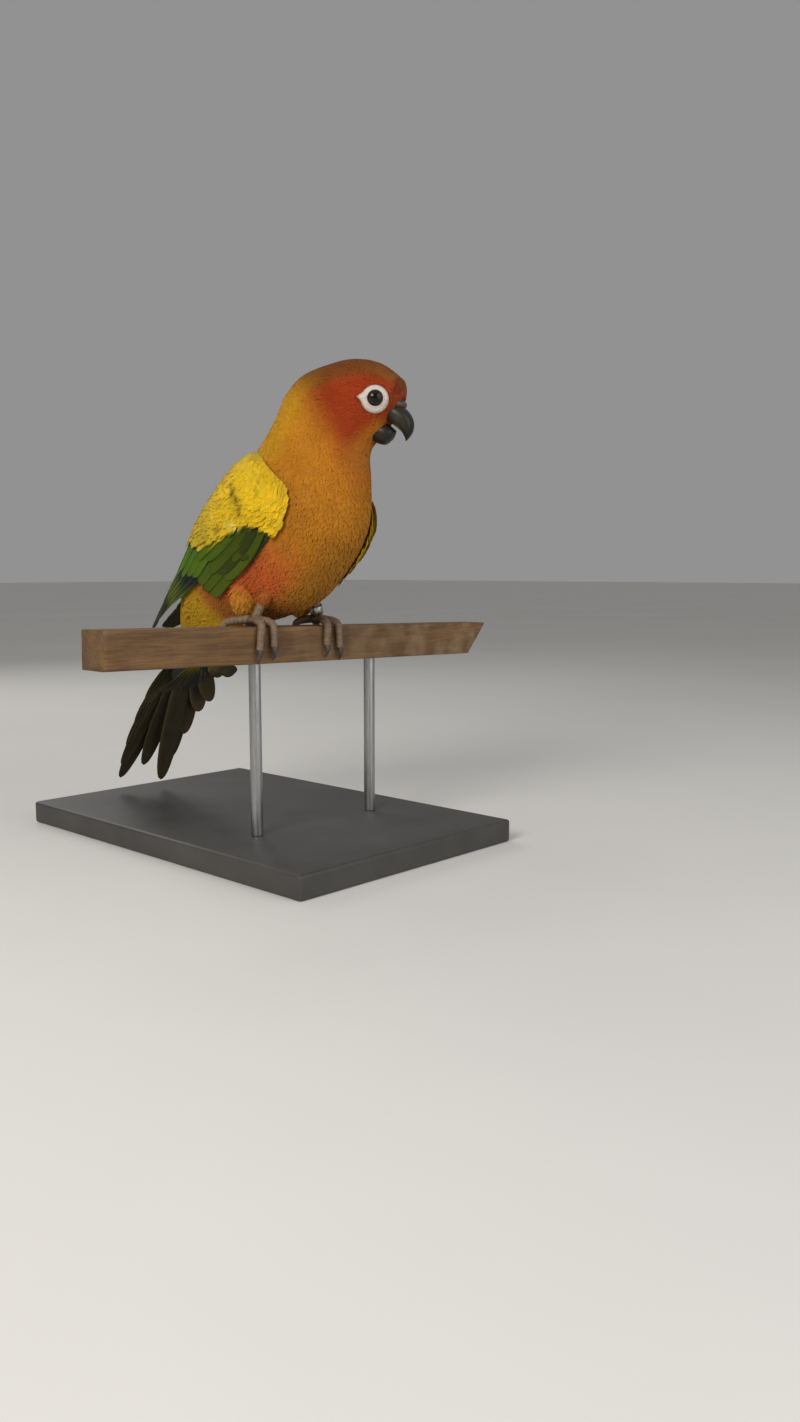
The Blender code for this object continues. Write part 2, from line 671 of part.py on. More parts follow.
def build_eyes(head, collection, guides):
    """Eyeballs in open sockets, each inside a ring of bare skin with a rounded lid and a corner behind it."""
    for side in (-1, 1):
        here, normal, backward = head_surface(EYE_AT, side)
        centre = here - normal * EYE_SINK
        pieces = new_collection("eye_skin")
        turn = facing(normal, backward)
        ball("ring", here - normal * RING_SINK, RING_RADII, turn, pieces, 20, 6)
        corner, outward, _ = head_surface(CORNER_AT, side)
        corner_turn = facing(outward, corner - here)
        ball("corner", corner - outward * RING_SINK, CORNER_RADII, corner_turn, pieces, 12, 6)
        bpy.ops.mesh.primitive_torus_add(major_radius=LID_RADII[0], minor_radius=LID_RADII[1],
                                         major_segments=20, minor_segments=5)
        lid = bpy.context.object
        for home in list(lid.users_collection):
            home.objects.unlink(lid)
        pieces.objects.link(lid)
        lid.data.transform(Matrix.Translation(Vector(here + normal * LID_RISE)) @ turn)
        fuse(head, pieces)
        socket = ball("socket", centre, (EYE_RADIUS + GAP,) * 3, turn, guides, 18, 8)
        boolean(head, socket, "DIFFERENCE")
        ball(f"eye_{side_name(side)}", centre, (EYE_RADIUS,) * 3, turn, collection, 18, 8)
    keep_largest(head)


def in_head(point):
    """A point given in the upright middle plane of the head, after the head's turn."""
    return turned(np.array(point, float) * mm, HEAD_TURN)


def build_cere(head, guides):
    """The bare skin over the bill, with its two nostrils.  Returns a cutter that clears it from the bill."""
    turn = Matrix.Rotation(HEAD_TURN, 4, "Z")
    pieces = new_collection("cere_skin")
    ball("cere", in_head(CERE_AT), [r * mm for r in CERE_RADII], turn, pieces, 16, 8)
    fuse(head, pieces)
    for side in (-1, 1):
        way = (NOSTRIL_WAY[0], NOSTRIL_WAY[1] * side, NOSTRIL_WAY[2])
        point = [at + share * radius for at, share, radius in zip(CERE_AT, way, CERE_RADII)]
        nostril = ball("nostril", in_head(point), (NOSTRIL_RADIUS * mm,) * 3, turn, guides, 8, 5)
        boolean(head, nostril, "DIFFERENCE")
    keep_largest(head)
    lighten(head, HEAD_LIGHTEN)
    grown = [r * mm + GAP for r in CERE_RADII]
    return ball("clear_cere", in_head(CERE_AT), grown, turn, guides, 16, 8)


def toe_path(toe, side):
    """The middle line of one toe, from the pad over an edge of the perch and down its face."""
    across, end, face, down = toe
    clear = TOE_RADIUS + TOE_OVER
    edge = PERCH_FORWARD + face * PERCH_SIDE / mm / 2
    points = [(PERCH_FORWARD + face * out, across * share, clear + over) for out, share, over in TOE_ON_TOP]
    points.append((edge - face * TOE_INSIDE_EDGE, across, clear + TOE_OVER_EDGE))
    bend_out, bend_up = TOE_ROUND_EDGE
    for (along, drop), out, up in zip(TOE_DOWN_FACE, (bend_out, 1, 1), (bend_up, 0, 0)):
        points.append((edge + face * clear * out, across + (end - across) * along, clear * up - down * drop))
    placed = [mirrored((x, y - FOOT_OUT, z), side) for x, y, z in points]
    return curved(placed, TOE_STEPS)


def shank_path(side):
    """The middle line of the scaly shank, from the pad up into the feathers."""
    points = [(PERCH_FORWARD + x, y - FOOT_OUT, z) for x, y, z in SHANK_SHAPE]
    return curved([mirrored(point, side) for point in points], SHANK_STEPS)


def build_foot(side, collection, cutters):
    shank = np.array(shank_path(side)) * mm
    foot = tube(f"foot_{side_name(side)}", shank, [TARSUS_RADIUS * mm] * len(shank), collection)
    pieces = new_collection("toes")
    ball("pad", shank[0], [r * mm for r in PAD_RADII], Matrix.Identity(4), pieces, 14, 6)
    for toe in TOES:
        path = np.array(toe_path(toe, side)) * mm
        radii = []
        for i in range(TOE_STEPS + 1):
            swell = TOE_SWELL if i % 3 == 2 else 0
            radii.append(TOE_RADIUS * mm * (TOE_ROOT - TOE_TAPER * i / TOE_STEPS + swell))
        tube("toe", path, radii, pieces)
    fuse(foot, pieces)
    cut_clear(foot, cutters)
    return foot


def build_claw(side, number, collection):
    """A hooked claw, face to face with the end of its toe."""
    toe = np.array(toe_path(TOES[number - 1], side))
    down = toe[-1] - toe[-2]
    down = down / np.linalg.norm(down)
    out = np.array([TOES[number - 1][2], 0.0, 0.0])
    points = [toe[-1] + down * (on + TOE_OVER) + out * off for on, off in CLAW_SHAPE]
    path = np.array(curved(points, CLAW_STEPS)) * mm
    thick, thin = CLAW_RADII
    radii = [(thick - (thick - thin) * (i / CLAW_STEPS) ** CLAW_FULL) * mm for i in range(CLAW_STEPS + 1)]
    return tube(f"claw_{side_name(side)}_{number}", path, radii, collection)


def thigh_shape(name, side, grow, collection):
    """The feathered thigh, or with `grow` a cutter that clears it."""
    centre = mirrored(THIGH_AT, side) * mm
    axis = Vector(mirrored(THIGH_AXIS, side))
    turn = axis.to_track_quat("Z", "Y").to_matrix().to_4x4()
    return ball(name, centre, [r * mm + grow for r in THIGH_RADII], turn, collection, 20, 10)


def build_thigh(side, collection, cutters):
    thigh = thigh_shape(f"thigh_{side_name(side)}", side, 0.0, collection)
    cut_clear(thigh, cutters)
    return thigh


def build_bill(collection, cutters):
    upper = sections_loft("bill_upper", UPPER_BILL, UPPER_BILL_TIP, collection)
    lower = sections_loft("bill_lower", LOWER_BILL, LOWER_BILL_TIP, collection)
    for bill in (upper, lower):
        cut_clear(bill, cutters)
    return upper, lower


def build_leg_band(collection):
    """The plain metal band on the bird's left shank."""
    inner, outer, height = RING_BAND
    path = shank_path(1)
    k = RING_BAND_PLACE * 2
    at = spline(path, k) * mm
    axis = Vector(spline(path, k + 0.5) - spline(path, k - 0.5)).normalized()
    mesh = bmesh.new()
    turn = axis.to_track_quat("Z", "Y").to_matrix().to_4x4()
    rings = []
    for radius, up in ((outer, -0.5), (outer, 0.5), (inner, 0.5), (inner, -0.5)):
        rings.append([mesh.verts.new((radius * math.cos(a), radius * math.sin(a), up * height))
                      for a in (2 * math.pi * i / 32 for i in range(32))])
    for first, second in zip(rings, rings[1:] + rings[:1]):
        for i in range(32):
            j = (i + 1) % 32
            mesh.faces.new((first[i], first[j], second[j], second[i]))
    bmesh.ops.recalc_face_normals(mesh, faces=mesh.faces)
    bmesh.ops.transform(mesh, matrix=Matrix.Translation(Vector(at)) @ turn, verts=mesh.verts)
    data = bpy.data.meshes.new("leg_band")
    mesh.to_mesh(data)
    mesh.free()
    return new_object("leg_band", data, collection)


def box(name, size, middle, bevel, collection):
    mesh = bmesh.new()
    bmesh.ops.create_cube(mesh, size=1.0)
    bmesh.ops.scale(mesh, vec=size, verts=mesh.verts)
    data = bpy.data.meshes.new(name)
    mesh.to_mesh(data)
    mesh.free()
    made = new_object(name, data, collection)
    made.location = middle
    edges = made.modifiers.new("edges", "BEVEL")
    edges.width = bevel
    edges.segments = BEVEL_STEPS
    return made


def build_perch(collection):
    """Sawn timber with its far end cut on the slant, so that the top runs out to a point."""
    middle = (PERCH_FORWARD * mm, -FEET_PLACE[1], -PERCH_SIDE / 2)
    perch = box("perch", (PERCH_SIDE, PERCH_LENGTH, PERCH_SIDE), middle, PERCH_BEVEL, collection)
    for vertex in perch.data.vertices:
        if vertex.co.y > 0 and vertex.co.z < 0:
            vertex.co.y -= PERCH_END_SLANT
    return perch


def build_stand(collection):
    base = box("stand_base", BASE_SIZE, (0, 0, BASE_SIZE[2] / 2), BASE_BEVEL, collection)
    rods = []
    for number, side in ((1, -1), (2, 1)):
        away = side * ROD_SPACING / 2
        under = PERCH_TOP - PERCH_SIDE - (away - FEET_PLACE[1]) * math.tan(PERCH_SLOPE)
        length = under - BASE_SIZE[2] - ROD_GAPS
        mesh = bmesh.new()
        bmesh.ops.create_cone(mesh, cap_ends=True, segments=24, radius1=ROD_RADIUS, radius2=ROD_RADIUS,
                              depth=length)
        data = bpy.data.meshes.new(f"stand_rod_{number}")
        mesh.to_mesh(data)
        mesh.free()
        data.shade_smooth()
        data.set_sharp_from_angle(angle=math.radians(40))
        rod = new_object(f"stand_rod_{number}", data, collection)
        rod.location = (FEET_PLACE[0] + PERCH_FORWARD * mm, away, BASE_SIZE[2] + GAP + length / 2)
        rods.append(rod)
    return base, rods


def material(name, colour, roughness, metallic=0.0):
    made = bpy.data.materials.new(name)
    made.use_nodes = True
    surface = made.node_tree.nodes["Principled BSDF"]
    surface.inputs["Base Color"].default_value = (*colour, 1.0)
    surface.inputs["Roughness"].default_value = roughness
    surface.inputs["Metallic"].default_value = metallic
    return made


COLOURS = {
    "head": ((0.55, 0.11, 0.02), 0.75),
    "neck": ((0.62, 0.25, 0.03), 0.75),
    "torso": ((0.6, 0.17, 0.04), 0.75),
    "rump": ((0.55, 0.3, 0.04), 0.75),
    "tail": ((0.035, 0.045, 0.02), 0.7),
    "wing": ((0.45, 0.36, 0.02), 0.7),
    "thigh": ((0.55, 0.25, 0.03), 0.75),
    "foot": ((0.3, 0.22, 0.19), 0.6),
    "claw": ((0.05, 0.045, 0.04), 0.4),
    "eye": ((0.03, 0.012, 0.006), 0.1),
    "bill": ((0.04, 0.038, 0.035), 0.4),
    "perch": ((0.12, 0.05, 0.03), 0.8),
}


def main():
    clear_scene()
    parts = new_collection("sun_conure")
    cutting = new_collection("cutters")
    clear_trunk = body_loft("clear_trunk", 0, LAST_SECTION, 36, cutting, out=CUTTER_GAP / mm, tip=True)
    head = build_trunk(parts)
    build_tail(parts, [clear_trunk])
    for side in (-1, 1):
        build_thigh(side, parts, [clear_trunk])
        clear_thigh = thigh_shape("clear_thigh", side, CUTTER_GAP, cutting)
        build_wing(side, parts, [clear_trunk, clear_thigh])
        build_foot(side, parts, [clear_trunk, clear_thigh])
        for number in range(1, len(TOES) + 1):
            build_claw(side, number, parts)
    build_eyes(head, parts, cutting)
    clear_cere = build_cere(head, cutting)
    build_bill(parts, [clear_trunk, clear_cere])
    build_leg_band(parts)
    build_perch(parts)
    on_perch = list(parts.objects)
    base, rods = build_stand(parts)

    feet_frame = bpy.data.objects.new("feet_frame", None)
    parts.objects.link(feet_frame)
    feet_frame.location = (*FEET_PLACE, PERCH_TOP)
    feet_frame.rotation_euler.x = -PERCH_SLOPE
    for made in on_perch:
        made.parent = feet_frame
    for cutter in cutting.objects:
        cutter.hide_render = True
        cutter.display_type = "WIRE"
        cutter.parent = feet_frame

    finishes = {key: material(key, *values) for key, values in COLOURS.items()}
    steel = material("steel", (0.5, 0.5, 0.5), 0.3, 1.0)
    black = material("stand_paint", (0.03, 0.03, 0.03), 0.5)
    for made in parts.objects:
        if made.type != "MESH":
            continue
        kind = made.name.split("_")[0]
        finish = finishes.get(kind, steel)
        if made is base:
            finish = black
        made.data.materials.clear()
        made.data.materials.append(finish)


main()
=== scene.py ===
import functools
import math

import bmesh
import bpy
import numpy as np
from mathutils import Matrix, Vector, noise
from mathutils.bvhtree import BVHTree
from mathutils.kdtree import KDTree


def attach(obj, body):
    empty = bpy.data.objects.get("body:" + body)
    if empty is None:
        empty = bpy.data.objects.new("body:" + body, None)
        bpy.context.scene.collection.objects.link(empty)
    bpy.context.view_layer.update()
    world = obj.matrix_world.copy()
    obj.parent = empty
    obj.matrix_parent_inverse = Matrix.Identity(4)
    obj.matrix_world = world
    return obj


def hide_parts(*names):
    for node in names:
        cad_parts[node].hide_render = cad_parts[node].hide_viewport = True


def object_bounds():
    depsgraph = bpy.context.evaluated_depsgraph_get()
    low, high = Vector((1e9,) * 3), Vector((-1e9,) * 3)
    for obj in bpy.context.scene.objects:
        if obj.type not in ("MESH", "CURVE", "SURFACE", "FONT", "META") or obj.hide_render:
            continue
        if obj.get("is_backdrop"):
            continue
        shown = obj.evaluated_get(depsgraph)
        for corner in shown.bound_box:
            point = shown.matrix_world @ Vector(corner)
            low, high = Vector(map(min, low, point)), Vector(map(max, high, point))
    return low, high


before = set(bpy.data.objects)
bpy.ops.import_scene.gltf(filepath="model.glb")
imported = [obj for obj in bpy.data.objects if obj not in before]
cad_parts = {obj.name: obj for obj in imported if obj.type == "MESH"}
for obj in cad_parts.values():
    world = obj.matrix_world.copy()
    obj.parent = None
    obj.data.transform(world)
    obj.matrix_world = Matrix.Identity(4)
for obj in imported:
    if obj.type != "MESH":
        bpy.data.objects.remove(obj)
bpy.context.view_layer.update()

mm = 0.001
turnWhole = 2 * math.pi
print("frame loaded:", len(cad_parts), "nodes")

# The bird is laid out in millimetres about the middle of its feet, as in the part, then set on the stand.
setting = {
    "feetPlace": (48.0, -19.0, 116.0),
    "slope": 1.2,  # degrees that the perch dips towards its pointed end
    "seed": 7,
}
feetMatrix = (Matrix.Translation(Vector(setting["feetPlace"]) * mm)
              @ Matrix.Rotation(-math.radians(setting["slope"]), 4, "X") @ Matrix.Scale(mm, 4))
feetTurn = np.array(feetMatrix.to_3x3())
feetMove = np.array(feetMatrix.translation)


def toWorld(points):
    return np.asarray(points, float) @ feetTurn.T + feetMove


def rgb(red, green, blue):
    share = np.array([red, green, blue]) / 255  # a screen colour, as light
    return np.where(share <= 0.04045, share / 12.92, ((share + 0.055) / 1.055) ** 2.4)


def smooth(low, high, value):
    t = np.clip((value - low) / (high - low), 0.0, 1.0)
    return t * t * (3 - 2 * t)


def band(value, low, high, soft):
    return smooth(low - soft, low + soft, value) * (1 - smooth(high - soft, high + soft, value))


def mixed(first, second, share):
    share = np.asarray(share)[..., None]
    return first * (1 - share) + second * share


# The bird's surfaces are functions of a place along it and an angle round it.
body = {
    # From the root of the tail to the forehead: back and belly as (forward, up), and half of the width.
    "sections": [
        ((-87, -7), (-68, -20), 8.5), ((-85, 9), (-58, -14), 12), ((-78, 26), (-44, -6), 16.5),
        ((-68, 41.5), (-28, 0), 21), ((-56, 55.5), (-8, 5), 24.5), ((-41, 68.5), (14, 12.5), 26.5),
        ((-26, 79), (31, 27.5), 27), ((-14, 87), (41.2, 41), 26), ((-7, 95), (45.2, 56), 23.3),
        ((-1.8, 102.6), (45, 68.5), 20.5), ((2.6, 111.2), (43, 78), 18.8),
        ((10.8, 119.6), (43.2, 84.2), 17.8), ((24, 124.2), (46, 88.2), 17.2),
        ((36.3, 126.2), (49.6, 91.8), 16.2), ((48.6, 123.9), (52.6, 95.8), 14.2),
        ((58.2, 117.4), (55.5, 100.2), 10.5),
    ],
    "foreheadRows": ((0.84, 1.3), (0.5, 2.5), (0.1, 2.9)),  # shares of the last section, and how far ahead
    "power": 0.92,
    "egg": 0.07,
    "headTurn": math.radians(25),
    "turnPivot": 15.0,
    "turnPlaces": (8.0, 11.5),
}
wing = {
    "sections": body["sections"][8:2:-1] + [
        ((-80, 29), (-45.5, -7), 17.5), ((-90.5, 18.5), (-63, -10), 14.5), ((-100, 9.5), (-79, -12), 11),
        ((-108.5, 1.5), (-94.5, -13), 8), ((-116.5, -6), (-108, -14.5), 5)],
    # Place, angle of the upper and lower edge, and thickness.
    "outline": [(0.45, 62, 100, 1.3), (0.8, 42, 107, 2.9), (1.4, 24, 110, 3.5), (2, 12, 110, 3.2),
                (2.6, 9, 110, 2.6), (3.3, 8, 110, 2), (4, 9, 108, 1.4), (4.7, 12, 95, 0.9)],
    "offBody": 0.9,
    "leftDrop": 32.0,  # degrees that the left wing hangs further round the breast
    "leftOut": 0.5,  # and how much further off it its lower edge stands
    "dropPlaces": (1.6, 4.6),
}


def flatRows(sections):
    return np.array([(*back, *belly, width) for back, belly, width in sections], float)


def withForehead(rows):
    last = rows[-1]
    middle = (last[:2] + last[2:4]) / 2
    more = []
    for share, ahead in body["foreheadRows"]:
        back = middle + (last[:2] - middle) * share + (ahead, 0)
        belly = middle + (last[2:4] - middle) * share + (ahead, 0)
        more.append([*back, *belly, last[4] * share])
    return np.concatenate([rows, more])


bodyRows = withForehead(flatRows(body["sections"]))
wingRows = flatRows(wing["sections"])
lowestEdge = math.radians(max(row[2] for row in wing["outline"]))


def splineRows(rows, at):
    last = len(rows) - 1
    at = np.clip(at, 0.0, last)
    i = np.minimum(at.astype(int), last - 1)
    t = (at - i)[..., None]
    padded = np.concatenate([2 * rows[:1] - rows[1:2], rows, 2 * rows[-1:] - rows[-2:-1]])
    before, a, b, after = (padded[i + k] for k in range(4))
    return 0.5 * (2 * a + (b - before) * t + (2 * before - 5 * a + 4 * b - after) * t ** 2
                  + (3 * a - before - 3 * b + after) * t ** 3)


def sectionPoint(row, angle):
    c, s = np.cos(angle), np.sin(angle)
    upward = np.sign(c) * np.abs(c) ** body["power"]
    sideways = np.sign(s) * np.abs(s) ** body["power"]
    x = (row[..., 0] + row[..., 2]) / 2 + (row[..., 0] - row[..., 2]) / 2 * upward
    z = (row[..., 1] + row[..., 3]) / 2 + (row[..., 1] - row[..., 3]) / 2 * upward
    y = -row[..., 4] * (1 + body["egg"] * c) * sideways
    return np.stack([x, y, z], -1)


def turned(points, angle):
    x, y = points[..., 0] - body["turnPivot"], points[..., 1]
    c, s = np.cos(angle), np.sin(angle)
    return np.stack([body["turnPivot"] + c * x - s * y, s * x + c * y, points[..., 2]], -1)


def bodySurface(place, angle):
    place, angle = np.broadcast_arrays(np.asarray(place, float), np.asarray(angle, float))
    turn = body["headTurn"] * smooth(*body["turnPlaces"], place)
    return turned(sectionPoint(splineRows(bodyRows, place), angle), turn)


def leftHang(place, angle):
    # How far the left wing hangs loose, from 0 to 1 at the front of its lower edge.
    return (1 - smooth(*wing["dropPlaces"], place)) * (angle / lowestEdge) ** 2


def wingSurface(side):
    def surface(place, angle):
        place, angle = np.broadcast_arrays(np.asarray(place, float), np.asarray(angle, float))
        hang = leftHang(place, angle) * (side > 0)
        row = splineRows(wingRows, place)
        point = sectionPoint(row, angle + math.radians(wing["leftDrop"]) * hang)
        middle = np.stack([(row[..., 0] + row[..., 2]) / 2, 0 * place, (row[..., 1] + row[..., 3]) / 2], -1)
        out = (point - middle) / np.linalg.norm(point - middle, axis=-1, keepdims=True)
        return (point + out * (wing["leftOut"] * hang)[..., None]) * (1, -side, 1)
    return surface


def lifted(surface, place, angle, lift, last, outward):
    # A point raised off the surface, square to it.  outward is 1 or -1, as the surface's angles run.
    step = 0.012
    place = np.clip(place, step, last - step)
    along = surface(place + step, angle) - surface(place - step, angle)
    across = surface(place, angle + step) - surface(place, angle - step)
    normal = np.cross(across, along) * outward
    normal /= np.linalg.norm(normal, axis=-1, keepdims=True) + 1e-12
    return surface(place, angle) + normal * np.asarray(lift)[..., None]


def metric(surface, place, angle, last):
    # Millimetres for one unit of place and for one of angle.
    step = 0.012
    place = np.clip(place, step, last - step)
    along = surface(place + step, angle) - surface(place - step, angle)
    across = surface(place, angle + step) - surface(place, angle - step)
    return (np.maximum(np.linalg.norm(along, axis=-1) / (2 * step), 0.8),
            np.maximum(np.linalg.norm(across, axis=-1) / (2 * step), 0.8))


skinShape = {"surface": bodySurface, "last": len(bodyRows) - 1, "outward": 1}
wingShapes = {side: {"surface": wingSurface(side), "last": len(wingRows) - 1, "outward": side} for side in (-1, 1)}


def gridFaces(count, rows, columns):
    corner = np.arange(rows - 1)[:, None] * columns + np.arange(columns - 1)[None]
    quad = np.stack([corner, corner + 1, corner + columns + 1, corner + columns], -1).reshape(-1, 4)
    return (quad[None] + np.arange(count)[:, None, None] * rows * columns).reshape(-1, 4)


def meshObject(name, points, faces, flip=False, uv=None, vectors=None, tints=None):
    mesh = bpy.data.meshes.new(name)
    faces = faces[:, ::-1] if flip else faces
    mesh.vertices.add(len(points))
    mesh.vertices.foreach_set("co", toWorld(points).astype(np.float32).ravel())
    mesh.loops.add(faces.size)
    mesh.loops.foreach_set("vertex_index", faces.astype(np.int32).ravel())
    mesh.polygons.add(len(faces))
    mesh.polygons.foreach_set("loop_start", np.arange(0, faces.size, faces.shape[1], dtype=np.int32))
    mesh.update(calc_edges=True)
    if uv is not None:
        layer = mesh.uv_layers.new(name="OFBake", do_init=False)
        layer.uv.foreach_set("vector", uv[faces.ravel()].astype(np.float32).ravel())
    if vectors is not None:
        mesh.attributes.new("vane", "FLOAT_VECTOR", "POINT").data.foreach_set(
            "vector", vectors.astype(np.float32).ravel())
    if tints is not None:
        tint = mesh.color_attributes.new("tint", "FLOAT_COLOR", "POINT")
        tint.data.foreach_set("color", np.c_[tints, np.ones(len(tints))].astype(np.float32).ravel())
    mesh.polygons.foreach_set("use_smooth", np.ones(len(faces), bool))
    piece = bpy.data.objects.new(name, mesh)
    bpy.context.scene.collection.objects.link(piece)
    return piece


def closedGrid(points):
    # Faces for rings of points, each ring closed on itself, with both ends filled by a fan to their middle.
    rows, columns = points.shape[:2]
    i = np.arange(rows - 1)[:, None] * columns
    j = np.arange(columns)[None]
    k = (j + 1) % columns
    quads = np.stack([i + j, i + k, i + columns + k, i + columns + j], -1).reshape(-1, 4)
    flat = points.reshape(-1, 3)
    ends = np.stack([points[0].mean(0), points[-1].mean(0)])
    first, second = len(flat), len(flat) + 1
    fans = [(first, (m + 1) % columns, m, m) for m in range(columns)]
    start = (rows - 1) * columns
    fans += [(second, start + m, start + (m + 1) % columns, start + (m + 1) % columns) for m in range(columns)]
    return np.concatenate([flat, ends]), quads, np.array(fans)


def solidObject(name, rings, flip=False, vectors=None, tints=None):
    # A closed body over rings of points.
    points, quads, fans = closedGrid(rings)
    mesh = bpy.data.meshes.new(name)
    faces = [tuple(q) for q in quads.tolist()] + [tuple(f[:3]) for f in fans.tolist()]
    if flip:
        faces = [f[::-1] for f in faces]
    mesh.from_pydata(toWorld(points).tolist(), [], faces)
    if vectors is not None:
        full = np.concatenate([vectors.reshape(-1, 3), vectors[0].mean(0)[None], vectors[-1].mean(0)[None]])
        mesh.attributes.new("vane", "FLOAT_VECTOR", "POINT").data.foreach_set("vector", full.astype(np.float32).ravel())
    if tints is not None:
        full = np.concatenate([tints.reshape(-1, 3), tints[0].mean(0)[None], tints[-1].mean(0)[None]])
        tint = mesh.color_attributes.new("tint", "FLOAT_COLOR", "POINT")
        tint.data.foreach_set("color", np.c_[full, np.ones(len(full))].astype(np.float32).ravel())
    mesh.polygons.foreach_set("use_smooth", [True] * len(mesh.polygons))
    piece = bpy.data.objects.new(name, mesh)
    bpy.context.scene.collection.objects.link(piece)
    return piece


def joinedMesh(name, pieces):
    # One piece from several, the later ones removed.
    with bpy.context.temp_override(active_object=pieces[0], selected_editable_objects=pieces,
                                   selected_objects=pieces):
        bpy.ops.object.join()
    pieces[0].name = name
    pieces[0].data.name = name
    return pieces[0]


def dress(piece, material, slot, *nodes):
    piece.data.materials.clear()
    piece.data.materials.append(material)
    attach(piece, "root")
    if nodes:
        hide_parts(*nodes)
    return piece


def newGroup(name, inputs, outputs):
    group = bpy.data.node_groups.new(name, "ShaderNodeTree")
    for label, kind, value in inputs:
        socket = group.interface.new_socket(name=label, in_out="INPUT", socket_type=kind)
        socket.default_value = value
    for label, kind in outputs:
        group.interface.new_socket(name=label, in_out="OUTPUT", socket_type=kind)
    return group, group.nodes.new("NodeGroupInput"), group.nodes.new("NodeGroupOutput")


def mathNode(tree, operation, first, second=None, clamp=False):
    node = tree.nodes.new("ShaderNodeMath")
    node.operation = operation
    node.use_clamp = clamp
    for socket, value in zip(node.inputs, (first, second)):
        if value is None:
            continue
        if isinstance(value, (int, float)):
            socket.default_value = value
        else:
            tree.links.new(value, socket)
    return node.outputs[0]


def noiseNode(tree, vector, scale, detail=3.0, roughness=0.55):
    node = tree.nodes.new("ShaderNodeTexNoise")
    node.inputs["Detail"].default_value = detail
    node.inputs["Roughness"].default_value = roughness
    if isinstance(scale, (int, float)):
        node.inputs["Scale"].default_value = scale
    else:
        tree.links.new(scale, node.inputs["Scale"])
    tree.links.new(vector, node.inputs["Vector"])
    return node.outputs["Fac"]


def rangeNode(tree, value, low, high, toLow, toHigh):
    node = tree.nodes.new("ShaderNodeMapRange")
    tree.links.new(value, node.inputs["Value"])
    for label, number in zip(("From Min", "From Max", "To Min", "To Max"), (low, high, toLow, toHigh)):
        node.inputs[label].default_value = number
    return node.outputs["Result"]


def mixColours(tree, factor, first, second, blend="MIX"):
    node = tree.nodes.new("ShaderNodeMix")
    node.data_type = "RGBA"
    node.blend_type = blend
    sockets = (node.inputs[0], node.inputs[6], node.inputs[7])
    for socket, value in zip(sockets, (factor, first, second)):
        if isinstance(value, (int, float)):
            socket.default_value = value
        elif isinstance(value, (tuple, list, np.ndarray)):
            socket.default_value = (*value, 1.0)
        else:
            tree.links.new(value, socket)
    return node.outputs[2]


def barbGroup():
    # Fine barbs that slant out from a feather's shaft, read from each feather's own across, along and chance.
    group, given, out = newGroup("featherBarbs", [("Lines", "NodeSocketFloat", 2.4), ("Slant", "NodeSocketFloat", 0.8)],
                                 [("Height", "NodeSocketFloat"), ("Shade", "NodeSocketFloat")])
    vane = group.nodes.new("ShaderNodeAttribute")
    vane.attribute_name = "vane"
    parts = group.nodes.new("ShaderNodeSeparateXYZ")
    group.links.new(vane.outputs["Vector"], parts.inputs[0])
    across = mathNode(group, "ABSOLUTE", parts.outputs["X"])
    slanted = mathNode(group, "MULTIPLY", across, given.outputs["Slant"])
    along = mathNode(group, "SUBTRACT", parts.outputs["Y"], slanted)
    lines = mathNode(group, "MULTIPLY", along, given.outputs["Lines"])
    chance = mathNode(group, "MULTIPLY", parts.outputs["Z"], 37.0)
    place = group.nodes.new("ShaderNodeCombineXYZ")
    group.links.new(mathNode(group, "MULTIPLY", across, 0.7), place.inputs["X"])
    group.links.new(lines, place.inputs["Y"])
    group.links.new(chance, place.inputs["Z"])
    streak = noiseNode(group, place.outputs[0], 1.3, 3.0, 0.6)
    fine = mathNode(group, "SINE", mathNode(group, "MULTIPLY", lines, turnWhole))
    height = mathNode(group, "ADD", mathNode(group, "MULTIPLY", fine, 0.25), streak)
    group.links.new(height, out.inputs["Height"])
    group.links.new(rangeNode(group, streak, 0.3, 0.7, 0.9, 1.08), out.inputs["Shade"])
    return group


def mottleGroup():
    # Soft uneven patches, as a shade for a colour and as a raw factor.
    group, given, out = newGroup("softMottle", [("Scale", "NodeSocketFloat", 60.0), ("Low", "NodeSocketFloat", 0.85),
                                                ("High", "NodeSocketFloat", 1.12)],
                                 [("Factor", "NodeSocketFloat"), ("Shade", "NodeSocketFloat")])
    where = group.nodes.new("ShaderNodeTexCoord")
    patches = noiseNode(group, where.outputs["Object"], given.outputs["Scale"], 4.0, 0.6)
    ranged = group.nodes.new("ShaderNodeMapRange")
    group.links.new(patches, ranged.inputs["Value"])
    ranged.inputs["From Min"].default_value = 0.32
    ranged.inputs["From Max"].default_value = 0.68
    group.links.new(given.outputs["Low"], ranged.inputs["To Min"])
    group.links.new(given.outputs["High"], ranged.inputs["To Max"])
    group.links.new(patches, out.inputs["Factor"])
    group.links.new(ranged.outputs["Result"], out.inputs["Shade"])
    return group


featherBarbs = barbGroup()
softMottle = mottleGroup()


def newMaterial(name, roughness, metallic=0.0):
    material = bpy.data.materials.new(name)
    material.use_nodes = True
    shader = material.node_tree.nodes["Principled BSDF"]
    shader.inputs["Roughness"].default_value = roughness
    shader.inputs["Metallic"].default_value = metallic
    return material, material.node_tree, shader


def useGroup(tree, group, **values):
    node = tree.nodes.new("ShaderNodeGroup")
    node.node_tree = group
    for label, value in values.items():
        node.inputs[label].default_value = value
    return node.outputs


def bumpNode(tree, height, strength, distance, shader):
    bump = tree.nodes.new("ShaderNodeBump")
    bump.inputs["Strength"].default_value = strength
    bump.inputs["Distance"].default_value = distance
    tree.links.new(height, bump.inputs["Height"])
    tree.links.new(bump.outputs["Normal"], shader.inputs["Normal"])


